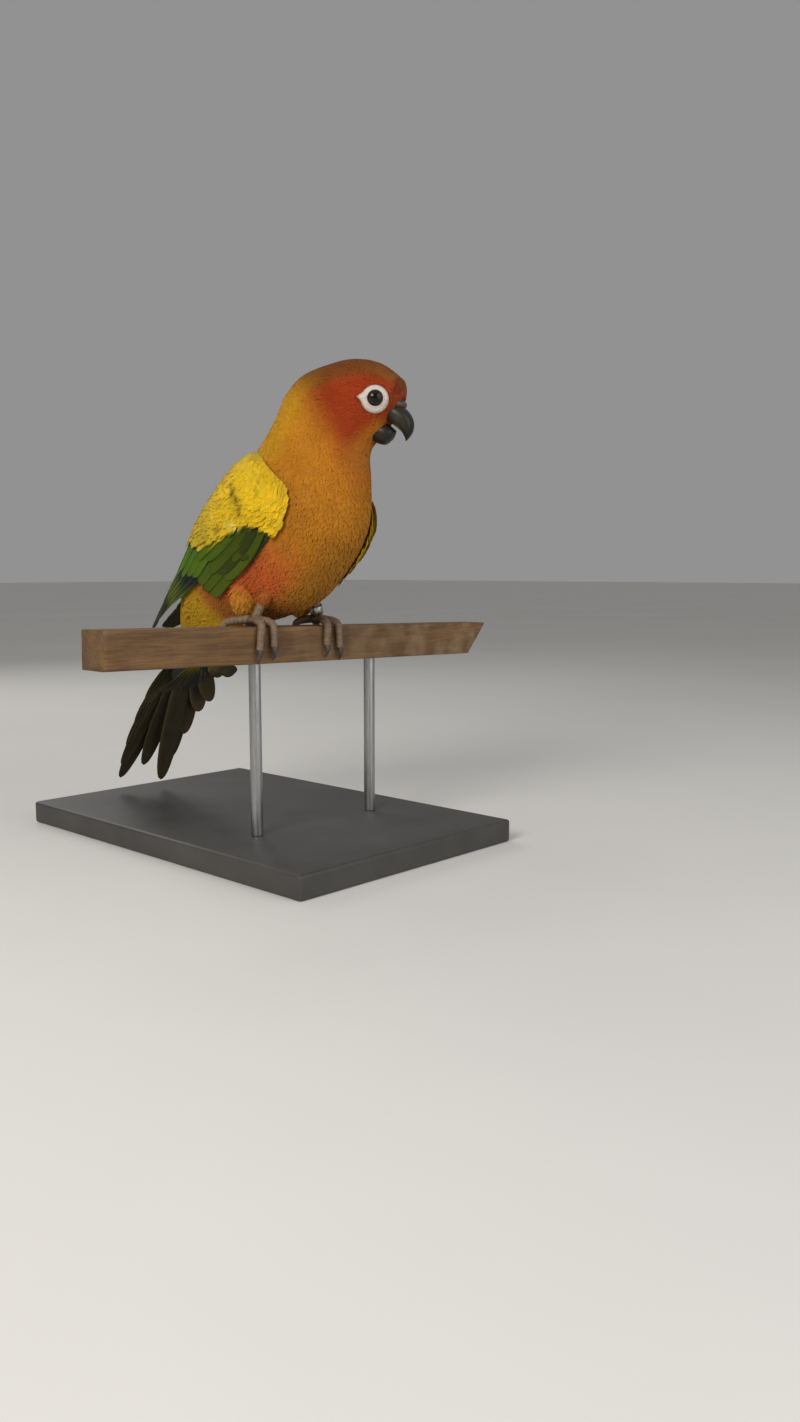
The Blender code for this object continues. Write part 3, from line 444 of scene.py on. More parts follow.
def scaled(tree, colour, *shades):
    for shade in shades:
        node = tree.nodes.new("ShaderNodeVectorMath")
        node.operation = "SCALE"
        tree.links.new(colour, node.inputs[0])
        tree.links.new(shade, node.inputs["Scale"])
        colour = node.outputs[0]
    return colour


def featherMaterial(name, lines, roughness, gloss, bump):
    material, tree, shader = newMaterial(name, roughness)
    tint = tree.nodes.new("ShaderNodeAttribute")
    tint.attribute_name = "tint"
    barbs = useGroup(tree, featherBarbs, Lines=lines)
    patches = useGroup(tree, softMottle, Scale=90.0, Low=0.9, High=1.1)
    tree.links.new(scaled(tree, tint.outputs["Color"], barbs["Shade"], patches["Shade"]), shader.inputs["Base Color"])
    bumpNode(tree, barbs["Height"], bump, 0.0003, shader)
    shader.inputs["Sheen Weight"].default_value = 0.03
    shader.inputs["Specular IOR Level"].default_value = gloss
    return material


downMaterial = featherMaterial("bodyFeathers", 3.0, 0.84, 0.12, 0.2)
vaneMaterial = featherMaterial("wingFeathers", 2.2, 0.7, 0.1, 0.3)

plumage = {
    "cheek": rgb(148, 53, 19), "lores": rgb(148, 60, 28),
    "crown": rgb(124, 70, 27), "crownFront": rgb(132, 78, 29),
    "nape": rgb(196, 142, 28), "mantle": rgb(194, 150, 30), "neck": rgb(184, 118, 28),
    "throat": rgb(174, 104, 29), "breast": rgb(172, 110, 28),
    "belly": rgb(154, 102, 30), "lowBelly": rgb(146, 84, 32), "flank": rgb(178, 82, 38),
    "vent": rgb(172, 132, 28), "ventOlive": rgb(104, 92, 22), "gap": rgb(140, 84, 28),
    "thigh": rgb(184, 120, 36), "thighPale": rgb(196, 144, 60), "cuff": rgb(160, 88, 36),
    "yellow": rgb(228, 186, 30), "paleYellow": rgb(236, 212, 92), "markAndShadow": rgb(84, 78, 20),
    "oldYellow": rgb(160, 144, 44), "brightGreen": rgb(68, 96, 8), "leafGreen": rgb(58, 98, 8),
    "yellowGreen": rgb(116, 136, 26), "green": rgb(70, 86, 10), "darkGreen": rgb(54, 62, 14),
    "blueGreen": rgb(24, 36, 32), "black": rgb(28, 29, 24), "tipBrown": rgb(60, 56, 40),
    "tailDark": rgb(62, 57, 42), "tailEdge": rgb(92, 84, 52), "tailBrown": rgb(84, 68, 46),
}


def bodyTint(place, angle):
    # The body's markings, with some painted shade among them.  angle runs from 0 on the back to half a turn on the
    # belly, either way.
    p = plumage
    a = np.degrees(np.abs(angle))
    place = np.asarray(place, float)
    tint = mixed(p["mantle"], p["breast"], smooth(50, 88, a))
    tint = mixed(tint, p["belly"], smooth(135, 175, a) * (1 - smooth(5.8, 7.6, place)))
    tint = mixed(tint, p["lowBelly"], smooth(125, 160, a) * (1 - smooth(3.6, 5.2, place)))
    tint = mixed(tint, p["flank"], band(a, 94, 146, 14) * band(place, 3.0, 5.7, 0.8) * 0.95)
    tint = mixed(tint, p["neck"], smooth(6.9, 9.2, place) * smooth(30, 75, a))
    tint = mixed(tint, p["nape"], smooth(6.6, 8.8, place) * (1 - smooth(58, 94, a)))
    tint = mixed(tint, p["throat"], smooth(7.6, 9.6, place) * smooth(105, 150, a))
    # Partly the crown's own brownish orange, partly painted shade darkening the top of the head.
    tint = mixed(tint, p["crown"], smooth(9.7, 12.0, place) * (1 - smooth(66, 92, a)))
    tint = mixed(tint, p["crownFront"], smooth(13.4, 14.6, place) * (1 - smooth(50, 76, a)))
    # The red of the face runs back past the ear and down to the bill.
    under = smooth(128, 158, a) * (1 - smooth(13.2, 14.6, place))
    tint = mixed(tint, p["cheek"], smooth(9.4, 11.5, place + 0.012 * (a - 100)) * smooth(52, 78, a) * (1 - under))
    tint = mixed(tint, p["lores"], smooth(14.3, 15.4, place) * smooth(28, 62, a))
    # Painted shade: a darker reddish-brown band behind the thighs.
    tint = mixed(tint, p["gap"], band(place, 2.7, 3.4, 0.25) * smooth(84, 100, a) * 0.85)
    tint = mixed(tint, p["vent"], (1 - smooth(2.3, 2.9, place)) * smooth(40, 80, a))
    return mixed(tint, p["ventOlive"], (1 - smooth(0.6, 1.9, place)) * smooth(60, 120, a) * 0.8)


def thinned(points, spacing):
    # Drops points that crowd an earlier one.
    tree = KDTree(len(points))
    for i, point in enumerate(points):
        tree.insert(point, i)
    tree.balance()
    kept = np.ones(len(points), bool)
    for i, point in enumerate(points):
        if kept[i]:
            for _, j, _ in tree.find_range(point, spacing[i]):
                if j > i:
                    kept[j] = False
    return kept


def scatter(shape, places, angles, spacingOf, draw, crowd=5.0):
    # Even, irregular places over part of a surface, as (place, angle).
    surface, last = shape["surface"], shape["last"]
    gridPlace, gridAngle = np.meshgrid(np.linspace(*places, 60), np.linspace(*angles, 60), indexing="ij")
    perPlace, perAngle = metric(surface, gridPlace, gridAngle, last)
    weight = perPlace * perAngle / spacingOf(gridPlace, gridAngle) ** 2
    cell = (places[1] - places[0]) * (angles[1] - angles[0])
    count = int(weight.mean() * cell * crowd * weight.max() / weight.mean())
    place = draw.uniform(*places, count)
    angle = draw.uniform(*angles, count)
    perPlace, perAngle = metric(surface, place, angle, last)
    spacing = spacingOf(place, angle)
    taken = draw.uniform(0, 1, count) < perPlace * perAngle / spacing ** 2 / weight.max()
    place, angle, spacing = place[taken], angle[taken], spacing[taken]
    kept = thinned(surface(place, angle), spacing)
    return place[kept], angle[kept]


def headed(shape, place, angle, length, heading):
    # Where a feather of this length ends.  heading is 0 along the lie, towards the tail.
    perPlace, perAngle = metric(shape["surface"], place, angle, shape["last"])
    return place - length * np.cos(heading) / perPlace, angle + length * np.sin(heading) / perAngle


def vaneGrid(shape, root, tip, halfWidth, stations, columns, widths, lift, ragged=None):
    # Points of feathers laid on a surface from root to tip.  lift gives the height at (feather, along, across).
    surface, last = shape["surface"], shape["last"]
    t = np.asarray(stations)[None, :]
    place = root[0][:, None] + (tip[0] - root[0])[:, None] * t
    angle = root[1][:, None] + (tip[1] - root[1])[:, None] * t
    perPlace, perAngle = metric(surface, place, angle, last)
    goPlace = (tip[0] - root[0])[:, None] * perPlace
    goAngle = (tip[1] - root[1])[:, None] * perAngle
    length = np.sqrt(goPlace ** 2 + goAngle ** 2) + 1e-9
    goPlace, goAngle = goPlace / length, goAngle / length
    u = np.linspace(-1, 1, columns) if isinstance(columns, int) else np.asarray(columns)
    across = u[None, None, :] * halfWidth[:, None, None] * np.asarray(widths)[None, :, None]
    along = np.zeros_like(across) if ragged is None else ragged
    place = place[..., None] + (goPlace[..., None] * along - goAngle[..., None] * across) / perPlace[..., None]
    angle = angle[..., None] + (goAngle[..., None] * along + goPlace[..., None] * across) / perAngle[..., None]
    points = lifted(surface, place, angle, lift, last, shape["outward"])
    distance = length.mean(1)[:, None, None] * t[..., None] + 0 * across
    return points, across, distance, place, angle


def unwrapped(place, angle, last, shape3):
    # Each tuft's own small patch, at its root's place on the unwrapped skin.
    count, rows, columns = shape3
    u = 0.02 + 0.96 * ((angle / turnWhole) % 1.0)
    v = 0.02 + 0.96 * place / last
    du = np.linspace(-0.5, 0.5, columns) * 0.003
    dv = np.linspace(-0.5, 0.5, rows) * 0.003
    uv = np.zeros((count, rows, columns, 2))
    uv[..., 0] = u[:, None, None] + du[None, None, :]
    uv[..., 1] = v[:, None, None] + dv[None, :, None]
    return np.clip(uv, 0.0, 1.0)


tuft = {
    "stations": (0.0, 0.34, 0.64, 0.86, 1.0),
    "widths": (0.4, 0.92, 1.0, 0.84, 0.5),  # shares of its half width at the stations
    "rounding": 0.2, "cup": 0.12,  # how far its sides end short of its middle and lie lower
    "strand": 0.035, "warm": 0.02, "most": 190000,  # most triangles in one piece
    # Raggedness of the tip, the painted shade that darkens each root under the feathers over it, and how feathers
    # differ in brightness and height.
    "down": {"teeth": 0.06, "paintedRootShade": 0.92, "vary": 0.035, "uneven": 0.02},
    "covert": {"teeth": 0.05, "paintedRootShade": 0.88, "vary": 0.06, "uneven": 0.04},
}


def tuftPieces(name, shape, place, angle, heading, length, halfWidth, heights, columns, tintOf, draw, kind="down"):
    # Soft feathers with a ragged tip, joined into as few pieces as the triangle limit allows.
    look = tuft[kind]
    tipPlace, tipAngle = headed(shape, place, angle, length, heading)
    count, rows = len(place), len(tuft["stations"])
    u = np.linspace(-1, 1, columns)
    ragged = np.zeros((count, rows, columns))
    teeth = np.where(np.arange(columns) % 2 == 0, look["teeth"], -look["teeth"])
    rounding = -tuft["rounding"] * u ** 2
    stray = draw.uniform(-look["teeth"], look["teeth"], (count, columns))
    ragged[:, -1, :] = (teeth + rounding + stray) * length[:, None]
    ragged[:, -2, :] = (rounding * 0.6)[None] * length[:, None]
    t = np.array(tuft["stations"])[None, :, None]
    rootLift, tipLift = heights
    lift = (rootLift[:, None, None] + (tipLift - rootLift)[:, None, None] * t ** 0.8
            - tuft["cup"] * halfWidth[:, None, None] * (u ** 2)[None, None, :] * (0.4 + 0.6 * t)
            + draw.uniform(-look["uneven"], look["uneven"], (count, 1, 1)))
    points, across, along, vanePlace, vaneAngle = vaneGrid(
        shape, (place, angle), (tipPlace, tipAngle), halfWidth, tuft["stations"], columns, tuft["widths"], lift, ragged)
    chance = draw.uniform(0, 1, count)
    tint = tintOf(np.clip(vanePlace, 0, shape["last"]), vaneAngle, chance[:, None, None], t, u[None, None, :])
    value = draw.uniform(1 - look["vary"], 1 + look["vary"], (count, 1, 1, 1))
    warm = 1 + draw.normal(0, tuft["warm"], (count, 1, 1, 3))
    # Painted shade: each feather darkens towards its root, where the feathers over it lie.
    shade = (look["paintedRootShade"] + (1 - look["paintedRootShade"]) * t ** 0.7)[..., None]
    strand = 1 + draw.uniform(-tuft["strand"], tuft["strand"], (count, 1, columns, 1))
    tint = np.clip(tint * value * warm * shade * strand, 0, 1)
    uv = unwrapped(place, angle, shape["last"], (count, rows, columns))
    vectors = np.stack([across, along, chance[:, None, None] + 0 * across], -1)
    each = (rows - 1) * (columns - 1) * 2
    parts = max(1, math.ceil(count * each / tuft["most"]))
    order = np.argsort(place)
    pieces = []
    for number, chosen in enumerate(np.array_split(order, parts), 1):
        faces = gridFaces(len(chosen), rows, columns)
        pieces.append(meshObject(
            name if parts == 1 else f"{name}_{number}", points[chosen].reshape(-1, 3), faces, shape["outward"] < 0,
            uv[chosen].reshape(-1, 2), vectors[chosen].reshape(-1, 3), tint[chosen].reshape(-1, 3)))
    return pieces


eye = {
    "place": 13.9, "angle": math.radians(104),
    "radius": 4.6, "sink": 2.2,
    "ringRadius": 6.45, "ringLower": 0.65,  # the ring is wider under the eye than over it
    "corner": 2.6, "cornerWay": math.radians(13), "cornerWide": 0.17,  # the ring's point behind the eye
    "parting": 7.0,  # radius that the lie of the feathers parts round
    "partingPlaces": (15.9, 16.8),  # and where in front of the eye that ends
    "deepest": 11.0,  # how far under the eye's own level the head still counts as beside it
}
coat = {
    "headDepth": 0.6, "bodyDepth": 1.15, "depthPlaces": (7.5, 10.5),  # how far the skin lies inside the coat
    "frontDepth": 0.25, "frontPlaces": (14.8, 16.2),  # and on the tight curve of the forehead
    "headSpacing": 0.66, "headWidth": 0.56,
    "neckSpacing": 0.9,
    "bodySpacing": 1.32, "bodyWidth": 1.6, "bodyLength": 8.5,
    "thighSpacing": 1.0,
    "jitter": math.radians(7),
    # Where the coat stands out further: place, angle, their reach, and how far.
    "puffs": ((2.15, 104, 0.65, 24, 2.4), (5.0, 180, 1.6, 30, 0.5), (4.6, 124, 0.5, 12, 2.8)),
}


def coatPuff(place, angle):
    a = np.degrees(np.abs(angle))
    return sum(high * np.exp(-((place - at) / long) ** 2 - ((a - around) / wide) ** 2)
               for at, around, long, wide, high in coat["puffs"])


def coatDepth(place):
    depth = coat["bodyDepth"] + (coat["headDepth"] - coat["bodyDepth"]) * smooth(*coat["depthPlaces"], place)
    return depth + (coat["frontDepth"] - coat["headDepth"]) * smooth(*coat["frontPlaces"], place)


def ringReach(way):
    # How far out the bare ring reaches.  way is 0 straight back and a quarter turn straight up.
    off = (way - eye["cornerWay"] + math.pi) % turnWhole - math.pi
    corner = eye["corner"] * np.exp(-np.abs(off / eye["cornerWide"]) ** 1.3)
    return eye["ringRadius"] - eye["ringLower"] * np.sin(way) + corner


def frameAt(side, place=eye["place"], angle=eye["angle"]):
    # Point on the skin at an eye, with the ways outward, back and up there.
    step = 0.02
    angle = -side * angle
    here = bodySurface(place, angle)
    along = bodySurface(place + step, angle) - bodySurface(place - step, angle)
    across = bodySurface(place, angle + step) - bodySurface(place, angle - step)
    outward = np.cross(across, along)
    outward /= np.linalg.norm(outward)
    backward = -along
    backward = backward - outward * backward.dot(outward)
    backward /= np.linalg.norm(backward)
    up = np.cross(outward, backward)
    return here, outward, backward, up if up[2] > 0 else -up


def roundEye(place, angle):
    # The heading that parts round both eyes, and how far outside the bare ring the point is.
    points = bodySurface(place, angle)
    heading, clear = np.zeros_like(place), np.full_like(place, 99.0)
    for side in (-1, 1):
        here, outward, backward, up = frameAt(side)
        off = points - here
        back, over = off @ backward, off @ up
        distance = np.hypot(back, over) + 1e-6
        way = np.arctan2(over, back)
        parting = (eye["parting"] / distance) ** 2
        flow = way + np.arctan2(-(1 + parting) * np.sin(way), (1 - parting) * np.cos(way))
        flow = ((flow + math.pi) % turnWhole - math.pi) * side
        near = (distance < 22) & (off @ outward > -eye["deepest"])
        heading = np.where(near, flow * (1 - smooth(*eye["partingPlaces"], place)), heading)
        clear = np.where(near, np.minimum(clear, distance - ringReach(way)), clear)
    return heading, clear


def nodeTree(*names):
    # The surface of some CAD nodes, in the bird's own millimetres, to keep feathers off them.
    back = feetMatrix.inverted()
    points, faces = [], []
    for name in names:
        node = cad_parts[name]
        start = len(points)
        points += [back @ (node.matrix_world @ v.co) for v in node.data.vertices]
        faces += [[start + i for i in face.vertices] for face in node.data.polygons]
    return BVHTree.FromPolygons(points, faces)


def distancesTo(tree, points):
    found = np.full(len(points), 99.0)
    for i, point in enumerate(points):
        hit, normal, _, distance = tree.find_nearest(Vector(point), 6.0)
        if hit is not None:
            found[i] = distance if normal.dot(Vector(point) - hit) > 0 else -distance
    return found


skinMaterial, skinTree, skinShader = newMaterial("skinUnderFeathers", 0.8)
skinTint = skinTree.nodes.new("ShaderNodeAttribute")
skinTint.attribute_name = "tint"
skinPatches = useGroup(skinTree, softMottle, Scale=260.0, Low=0.75, High=1.0)
skinTree.links.new(scaled(skinTree, skinTint.outputs["Color"], skinPatches["Shade"]), skinShader.inputs["Base Color"])
bumpNode(skinTree, skinPatches["Factor"], 0.6, 0.0006, skinShader)


def ellipsoidShape(centre, radii, axis):
    # Place runs 0 to 10 from the low pole to the high one.
    turn = np.array(Vector(axis).to_track_quat("Z", "Y").to_matrix())

    def surface(place, angle):
        place, angle = np.broadcast_arrays(np.asarray(place, float), np.asarray(angle, float))
        t = np.clip(place, 0, 10) / 10 * math.pi
        local = np.stack([radii[0] * np.sin(t) * np.cos(angle), radii[1] * np.sin(t) * np.sin(angle),
                          -radii[2] * np.cos(t)], -1)
        return local @ turn.T + np.array(centre)
    return {"surface": surface, "last": 10, "outward": 1}


thigh = {"centre": (-14, -18.5, 14), "radii": (8, 6.5, 10), "axis": (0.25, -0.1, 1)}
thighShapes = {}
for side in (-1, 1):
    flip = np.array([1, -side, 1])
    thighShapes[side] = ellipsoidShape(thigh["centre"] * flip, thigh["radii"], thigh["axis"] * flip)


def shapeGrid(shape, places, angles, depth):
    place, angle = np.meshgrid(places, angles, indexing="ij")
    points = lifted(shape["surface"], place, angle, -depth(place), shape["last"], shape["outward"])
    return points, place, angle


def makeSkin():
    # One skin for head, neck, trunk and thighs.
    parts = []
    around = 96
    angles = np.linspace(-math.pi, math.pi, around + 1)
    jobs = [(skinShape, np.linspace(0, skinShape["last"], 150), coatDepth, bodyTint, (0.0, 0.86))]
    for number, side in enumerate((-1, 1)):
        jobs.append((thighShapes[side], np.linspace(0.15, 9.85, 26), lambda p: 1.1 + 0 * p,
                     lambda p, a: np.broadcast_to(plumage["thigh"], (*p.shape, 3)), (0.88 + 0.06 * number, 0.05)))
    for shape, places, depth, tintOf, (low, tall) in jobs:
        points, place, angle = shapeGrid(shape, places, angles, depth)
        # Painted shade: the skin under the coat is drawn darker than the feathers over it.
        tint = tintOf(place, angle) * 0.85
        uv = np.stack([0.02 + 0.96 * (angle / turnWhole + 0.5), 0.02 + 0.96 * (low + tall * place / shape["last"])], -1)
        part = meshObject("skinPart", points.reshape(-1, 3), gridFaces(1, *place.shape), shape["outward"] < 0,
                          uv.reshape(-1, 2), None, tint.reshape(-1, 3))
        mesh = bmesh.new()
        mesh.from_mesh(part.data)
        bmesh.ops.remove_doubles(mesh, verts=mesh.verts, dist=2e-6)
        bmesh.ops.holes_fill(mesh, edges=[e for e in mesh.edges if e.is_boundary], sides=0)
        mesh.to_mesh(part.data)
        mesh.free()
        parts.append(part)
    return dress(joinedMesh("skin", parts), skinMaterial, "body_feathers",
                 "head", "neck", "torso", "rump", "thigh_left", "thigh_right")


makeSkin()
print("skin made")

draw = np.random.default_rng(setting["seed"])
billTree = nodeTree("bill_upper", "bill_lower")
cere = {"at": np.array([58.2, 0, 104.6]), "radii": np.array([2.8, 5.4, 2.0]), "nostrilWay": (0.45, 0.55, 0.7)}


def inHead(points):
    return turned(np.asarray(points, float), body["headTurn"])


def inCere(points):
    # Under 1 inside the bare skin over the bill.
    local = turned(np.asarray(points, float), -body["headTurn"])
    return np.sqrt((((local - cere["at"]) / (cere["radii"] + 0.3)) ** 2).sum(-1))


def wingCover(place, angle):
    # Where a folded wing hides the trunk, well inside the wing's edges.
    w = 8 - place
    rows = np.array(wing["outline"])
    top, low = (np.radians(np.interp(w, rows[:, 0], rows[:, k])) for k in (1, 2))
    a = np.abs(angle)
    hang = np.where(angle < 0, math.radians(wing["leftDrop"]) * 0.7, 0)
    return (w > 0.95) & (w < 4.9) & (a > top + 0.25) & (a < low + hang - 0.2)


def bodyCoatTint(place, angle, chance, t, u):
    return bodyTint(place, angle)


def bodyCoat(name, slot, places, spacing, lengthOf, widthOf, columns, tipLift):
    place, angle = scatter(skinShape, places, (-math.pi, math.pi), lambda p, a: spacing + 0 * p, draw)
    heading, clear = roundEye(place, angle)
    # Under the middle of the forehead the feathers rise from the bill instead.
    heading = np.where((place > 16.4) & (np.abs(angle) > math.radians(95)), math.pi, heading)
    points = bodySurface(place, angle)
    length = lengthOf(place, angle)
    width = widthOf(place, angle) * draw.uniform(0.85, 1.15, len(place))
    heading = heading + draw.normal(0, coat["jitter"], len(place))
    for _ in range(4):  # a feather that would end over the bare ring is shortened, and else dropped
        endPlace, endAngle = headed(skinShape, place, angle, length, heading)
        crossing = roundEye(endPlace, endAngle)[1] < -0.3
        length = np.where(crossing, length * 0.7, length)
    kept = (clear > -0.05) & ~crossing & (distancesTo(billTree, points) > 0.5) & (inCere(points) > 1.0)
    kept &= ~wingCover(place, angle)
    place, angle, heading, length, width = (v[kept] for v in (place, angle, heading, length, width))
    width = np.minimum(width, 0.6 * length)
    depth = coatDepth(place)
    lifts = (-0.75 * depth, tipLift + coatPuff(place, angle) + draw.uniform(-0.03, 0.04, len(place)))
    pieces = tuftPieces(name, skinShape, place, angle, heading, length, width, lifts, columns, bodyCoatTint, draw)
    for piece in pieces:
        dress(piece, downMaterial, slot)
    print(name, len(place), "feathers in", len(pieces))


def headLength(place, angle):
    a = np.degrees(np.abs(angle))
    face = smooth(12.0, 14.8, place)
    front = smooth(*coat["frontPlaces"], place)  # the forehead curves too tightly for longer ones
    return 3.8 - 1.6 * face + 0.5 * smooth(120, 170, a) - 0.75 * front


bodyCoat("coat_head", "head_feathers", (10.3, 17.8), coat["headSpacing"], headLength,
         lambda p, a: coat["headWidth"] * (1 - 0.2 * smooth(13, 15.5, p)), 5, 0.07)
bodyCoat("coat_neck", "neck_feathers", (8.3, 10.6), coat["neckSpacing"], lambda p, a: 5.2 + 0 * p,
         lambda p, a: 1.0 + 0 * p, 6, 0.12)
bodyCoat("coat_body", "body_feathers", (1.5, 8.7), coat["bodySpacing"], lambda p, a: coat["bodyLength"] + 0 * p,
         lambda p, a: coat["bodyWidth"] + 0 * p, 8, 0.2)
bodyCoat("coat_rump", "rump_feathers", (0.1, 1.9), coat["bodySpacing"], lambda p, a: 7.5 + 0 * p,
         lambda p, a: 1.6 + 0 * p, 8, 0.2)


def makeThighCoat(side):
    shape = thighShapes[side]
    place, angle = scatter(shape, (0.4, 9.4), (-math.pi, math.pi), lambda p, a: coat["thighSpacing"] + 0 * p, draw)
    count = len(place)

    def thighTint(place, angle, chance, t, u):
        tint = mixed(plumage["thigh"], plumage["thighPale"], (1 - smooth(1.0, 6.0, place)) * 0.6)
        return mixed(tint, plumage["flank"], smooth(4.5, 8.0, place) * 0.8)

    lifts = (np.full(count, -0.8), draw.uniform(0.1, 0.9, count))
    pieces = tuftPieces(f"coat_thigh_{'right' if side < 0 else 'left'}", shape, place, angle,
                        draw.normal(0, coat["jitter"] * 1.5, count), draw.uniform(6.5, 9.5, count),
                        draw.uniform(0.8, 1.2, count), lifts, 6, thighTint, draw)
    for piece in pieces:
        dress(piece, downMaterial, "thigh_feathers")


# Feathers that hang over the top of the right shank, where that leg is drawn up into the flank.
cuff = {"centre": (-3.6, -15.5, 16.0), "radii": (6.0, 4.5, 7.5), "axis": (0.1, 0.35, 1)}


def makeCuff():
    shape = ellipsoidShape(cuff["centre"], cuff["radii"], cuff["axis"])
    place, angle = scatter(shape, (1.6, 9.4), (-math.pi, math.pi), lambda p, a: coat["thighSpacing"] + 0 * p, draw)
    count = len(place)
    lifts = (np.full(count, -0.8), draw.uniform(0.0, 0.6, count))
    pieces = tuftPieces("coat_cuff", shape, place, angle, draw.normal(0, coat["jitter"], count),
                        draw.uniform(5.0, 8.0, count), draw.uniform(0.8, 1.2, count), lifts, 6,
                        lambda p, a, chance, t, u: mixed(plumage["cuff"], plumage["flank"], smooth(4, 9, p) + 0 * (t + u)),
                        draw)
    for piece in pieces:
        dress(piece, downMaterial, "thigh_feathers")


for side in (-1, 1):
    makeThighCoat(side)
makeCuff()
print("coat made")

wing.update({
    # For each tier: how many, roots and tips of the first and last as (place, angle), half width, lifts.
    "tiers": {
        "primaries": (8, ((3.4, 99), (3.2, 62)), ((9.95, 34), (6.5, 20)), 4.4, (2.1, 2.6), (1.5, 2.3)),
        "secondaries": (12, ((2.7, 104), (2.4, 24)), ((4.6, 109), (6.3, 12)), 3.9, (2.6, 2.6), (2.3, 2.7)),
        "greaterCoverts": (15, ((1.9, 104), (1.8, 24)), ((3.85, 106), (5.0, 14)), 3.1, (2.9, 2.9), (2.9, 3.2)),
        "medianCoverts": (15, ((1.75, 103), (1.8, 30)), ((3.05, 105), (4.3, 20)), 2.8, (2.0, 3.2), (3.1, 3.4)),
    },
    "tilt": {"primaries": 0.13, "secondaries": 0.09, "greaterCoverts": 0.07, "medianCoverts": 0.06},
    "uneven": 0.16,  # how much the large feathers of a row differ in length
    "fingers": (-0.2, 0.8),  # and how far their yellow runs on over the green
    "thick": 0.16,
    # Where yellow turns to green: angle and place.
    "greenFrom": ((0, 4.7), (30, 4.8), (46, 4.75), (62, 4.4), (76, 3.95), (83, 3.3), (90, 2.45), (98, 2.1), (112, 1.95)),
    "pastEdge": {-1: 0.04, 1: 0.11},  # how far small feathers go on past the lower edge of each wing
    # The rounded pad of the shoulder, and the dip behind it: place, angle, their reach, height.
    "bulges": ((1.2, 88, 0.6, 17, 1.0), (2.05, 74, 0.16, 16, -0.5), (0.55, 62, 0.25, 8, -0.4)),
    "leftBulges": ((0.5, 96, 0.4, 18, 1.4),),  # the left shoulder stands further off the breast
    "leftYellow": 0.9,  # places that the yellow runs further back there
    # Olive marks among the yellow, and in the first four a painted shadow line along the dip behind the shoulder pad:
    # place, angle, their reach, strength.
    "marksAndShadowLine": ((1.95, 63, 0.1, 3, 0.8), (2.02, 70, 0.12, 3, 1.0), (2.0, 77, 0.1, 3, 1.0), (2.12, 84, 0.1, 3, 0.8),
              (0.95, 73, 0.04, 3.0, 0.5), (1.0, 83, 0.05, 2.5, 0.5), (1.25, 86, 0.04, 2.5, 0.5), (1.6, 96, 0.04, 2, 0.5),
              (1.5, 42, 0.12, 2, 0.35), (2.6, 66, 0.12, 2, 0.4), (3.1, 78, 0.12, 2.5, 0.6), (3.3, 58, 0.14, 2, 0.35)),
    # Yellow feather tips among the green, in the same order.
    "pales": ((2.55, 88, 0.09, 5, 0.9), (2.72, 83, 0.08, 3, 0.6), (3.15, 99, 0.07, 4, 0.8)),
})
bladeStations = np.array([0, 0.1, 0.22, 0.36, 0.5, 0.62, 0.73, 0.82, 0.89, 0.945, 0.98, 1.0])
bladeColumns = np.array([-1, -0.7, -0.4, -0.13, 0, 0.13, 0.4, 0.7, 1])


def bladeWidths(narrow, tipFrom=0.8, tipWidth=0.16):
    t = bladeStations
    rise = narrow + (1 - narrow) * smooth(0, 0.35, t)
    over = np.clip((t - tipFrom) / (1 - tipFrom), 0, 1)
    return rise * (tipWidth + (1 - tipWidth) * np.sqrt(1 - over ** 2))


def bladeAtlas(count):
    # Each large feather has its own strip.
    strip = np.arange(count)[:, None, None]
    u = (strip + 0.5 + 0.42 * bladeColumns[None, None, :]) / count
    v = 0.02 + 0.96 * bladeStations[None, :, None]
    return np.stack(np.broadcast_arrays(u, v), -1)


def bladePiece(name, points, across, along, chance, tint, flip, slot):
    count = len(points)
    vectors = np.stack([across, along, chance[:, None, None] + 0 * across], -1)
    piece = meshObject(name, points.reshape(-1, 3), gridFaces(count, *points.shape[1:3]), flip,
                       bladeAtlas(count).reshape(-1, 2), vectors.reshape(-1, 3), np.clip(tint, 0, 1).reshape(-1, 3))
    thick = piece.modifiers.new("thickness", "SOLIDIFY")
    thick.thickness = wing["thick"] * mm
    thick.offset = -1
    return dress(piece, vaneMaterial, slot)


def greenPlace(angle, side):
    a = np.degrees(angle)
    return np.interp(a, *zip(*wing["greenFrom"])) + (side > 0) * wing["leftYellow"] * smooth(80, 95, a)


def coreLift(place, angle):
    rows = np.array(wing["outline"])
    top, low, thick = (np.interp(place, rows[:, 0], rows[:, k]) for k in (1, 2, 3))
    t = np.clip((np.degrees(angle) - top) / (low - top), 0, 1)
    return wing["offBody"] + np.maximum(thick * (1 - 0.75 * np.abs(2 * t - 1) ** 4), 0.5)


def oldYellow(place, angle):
    # Where the yellow is duller: towards the back, and in the long feathers behind.
    a = np.degrees(angle)
    return np.maximum((1 - smooth(32, 60, a)) * 0.9, smooth(2.6, 3.8, place) * 0.6)


def wingGround(side, place, angle):
    # The wing's colour without its separate feathers.
    p = plumage
    a = np.degrees(angle)
    green = mixed(p["leafGreen"], p["brightGreen"], smooth(58, 74, a))
    green = mixed(green, p["green"], smooth(80, 96, a))
    green = mixed(green, p["yellowGreen"], (1 - smooth(36, 54, a)) * 0.7)
    green = mixed(green, p["darkGreen"], band(place, 2.0, 3.2, 0.3) * smooth(88, 97, a))
    yellow = mixed(p["yellow"], p["oldYellow"], oldYellow(place, angle))
    return mixed(yellow, green, smooth(-0.1, 0.1, place - greenPlace(angle, side)))


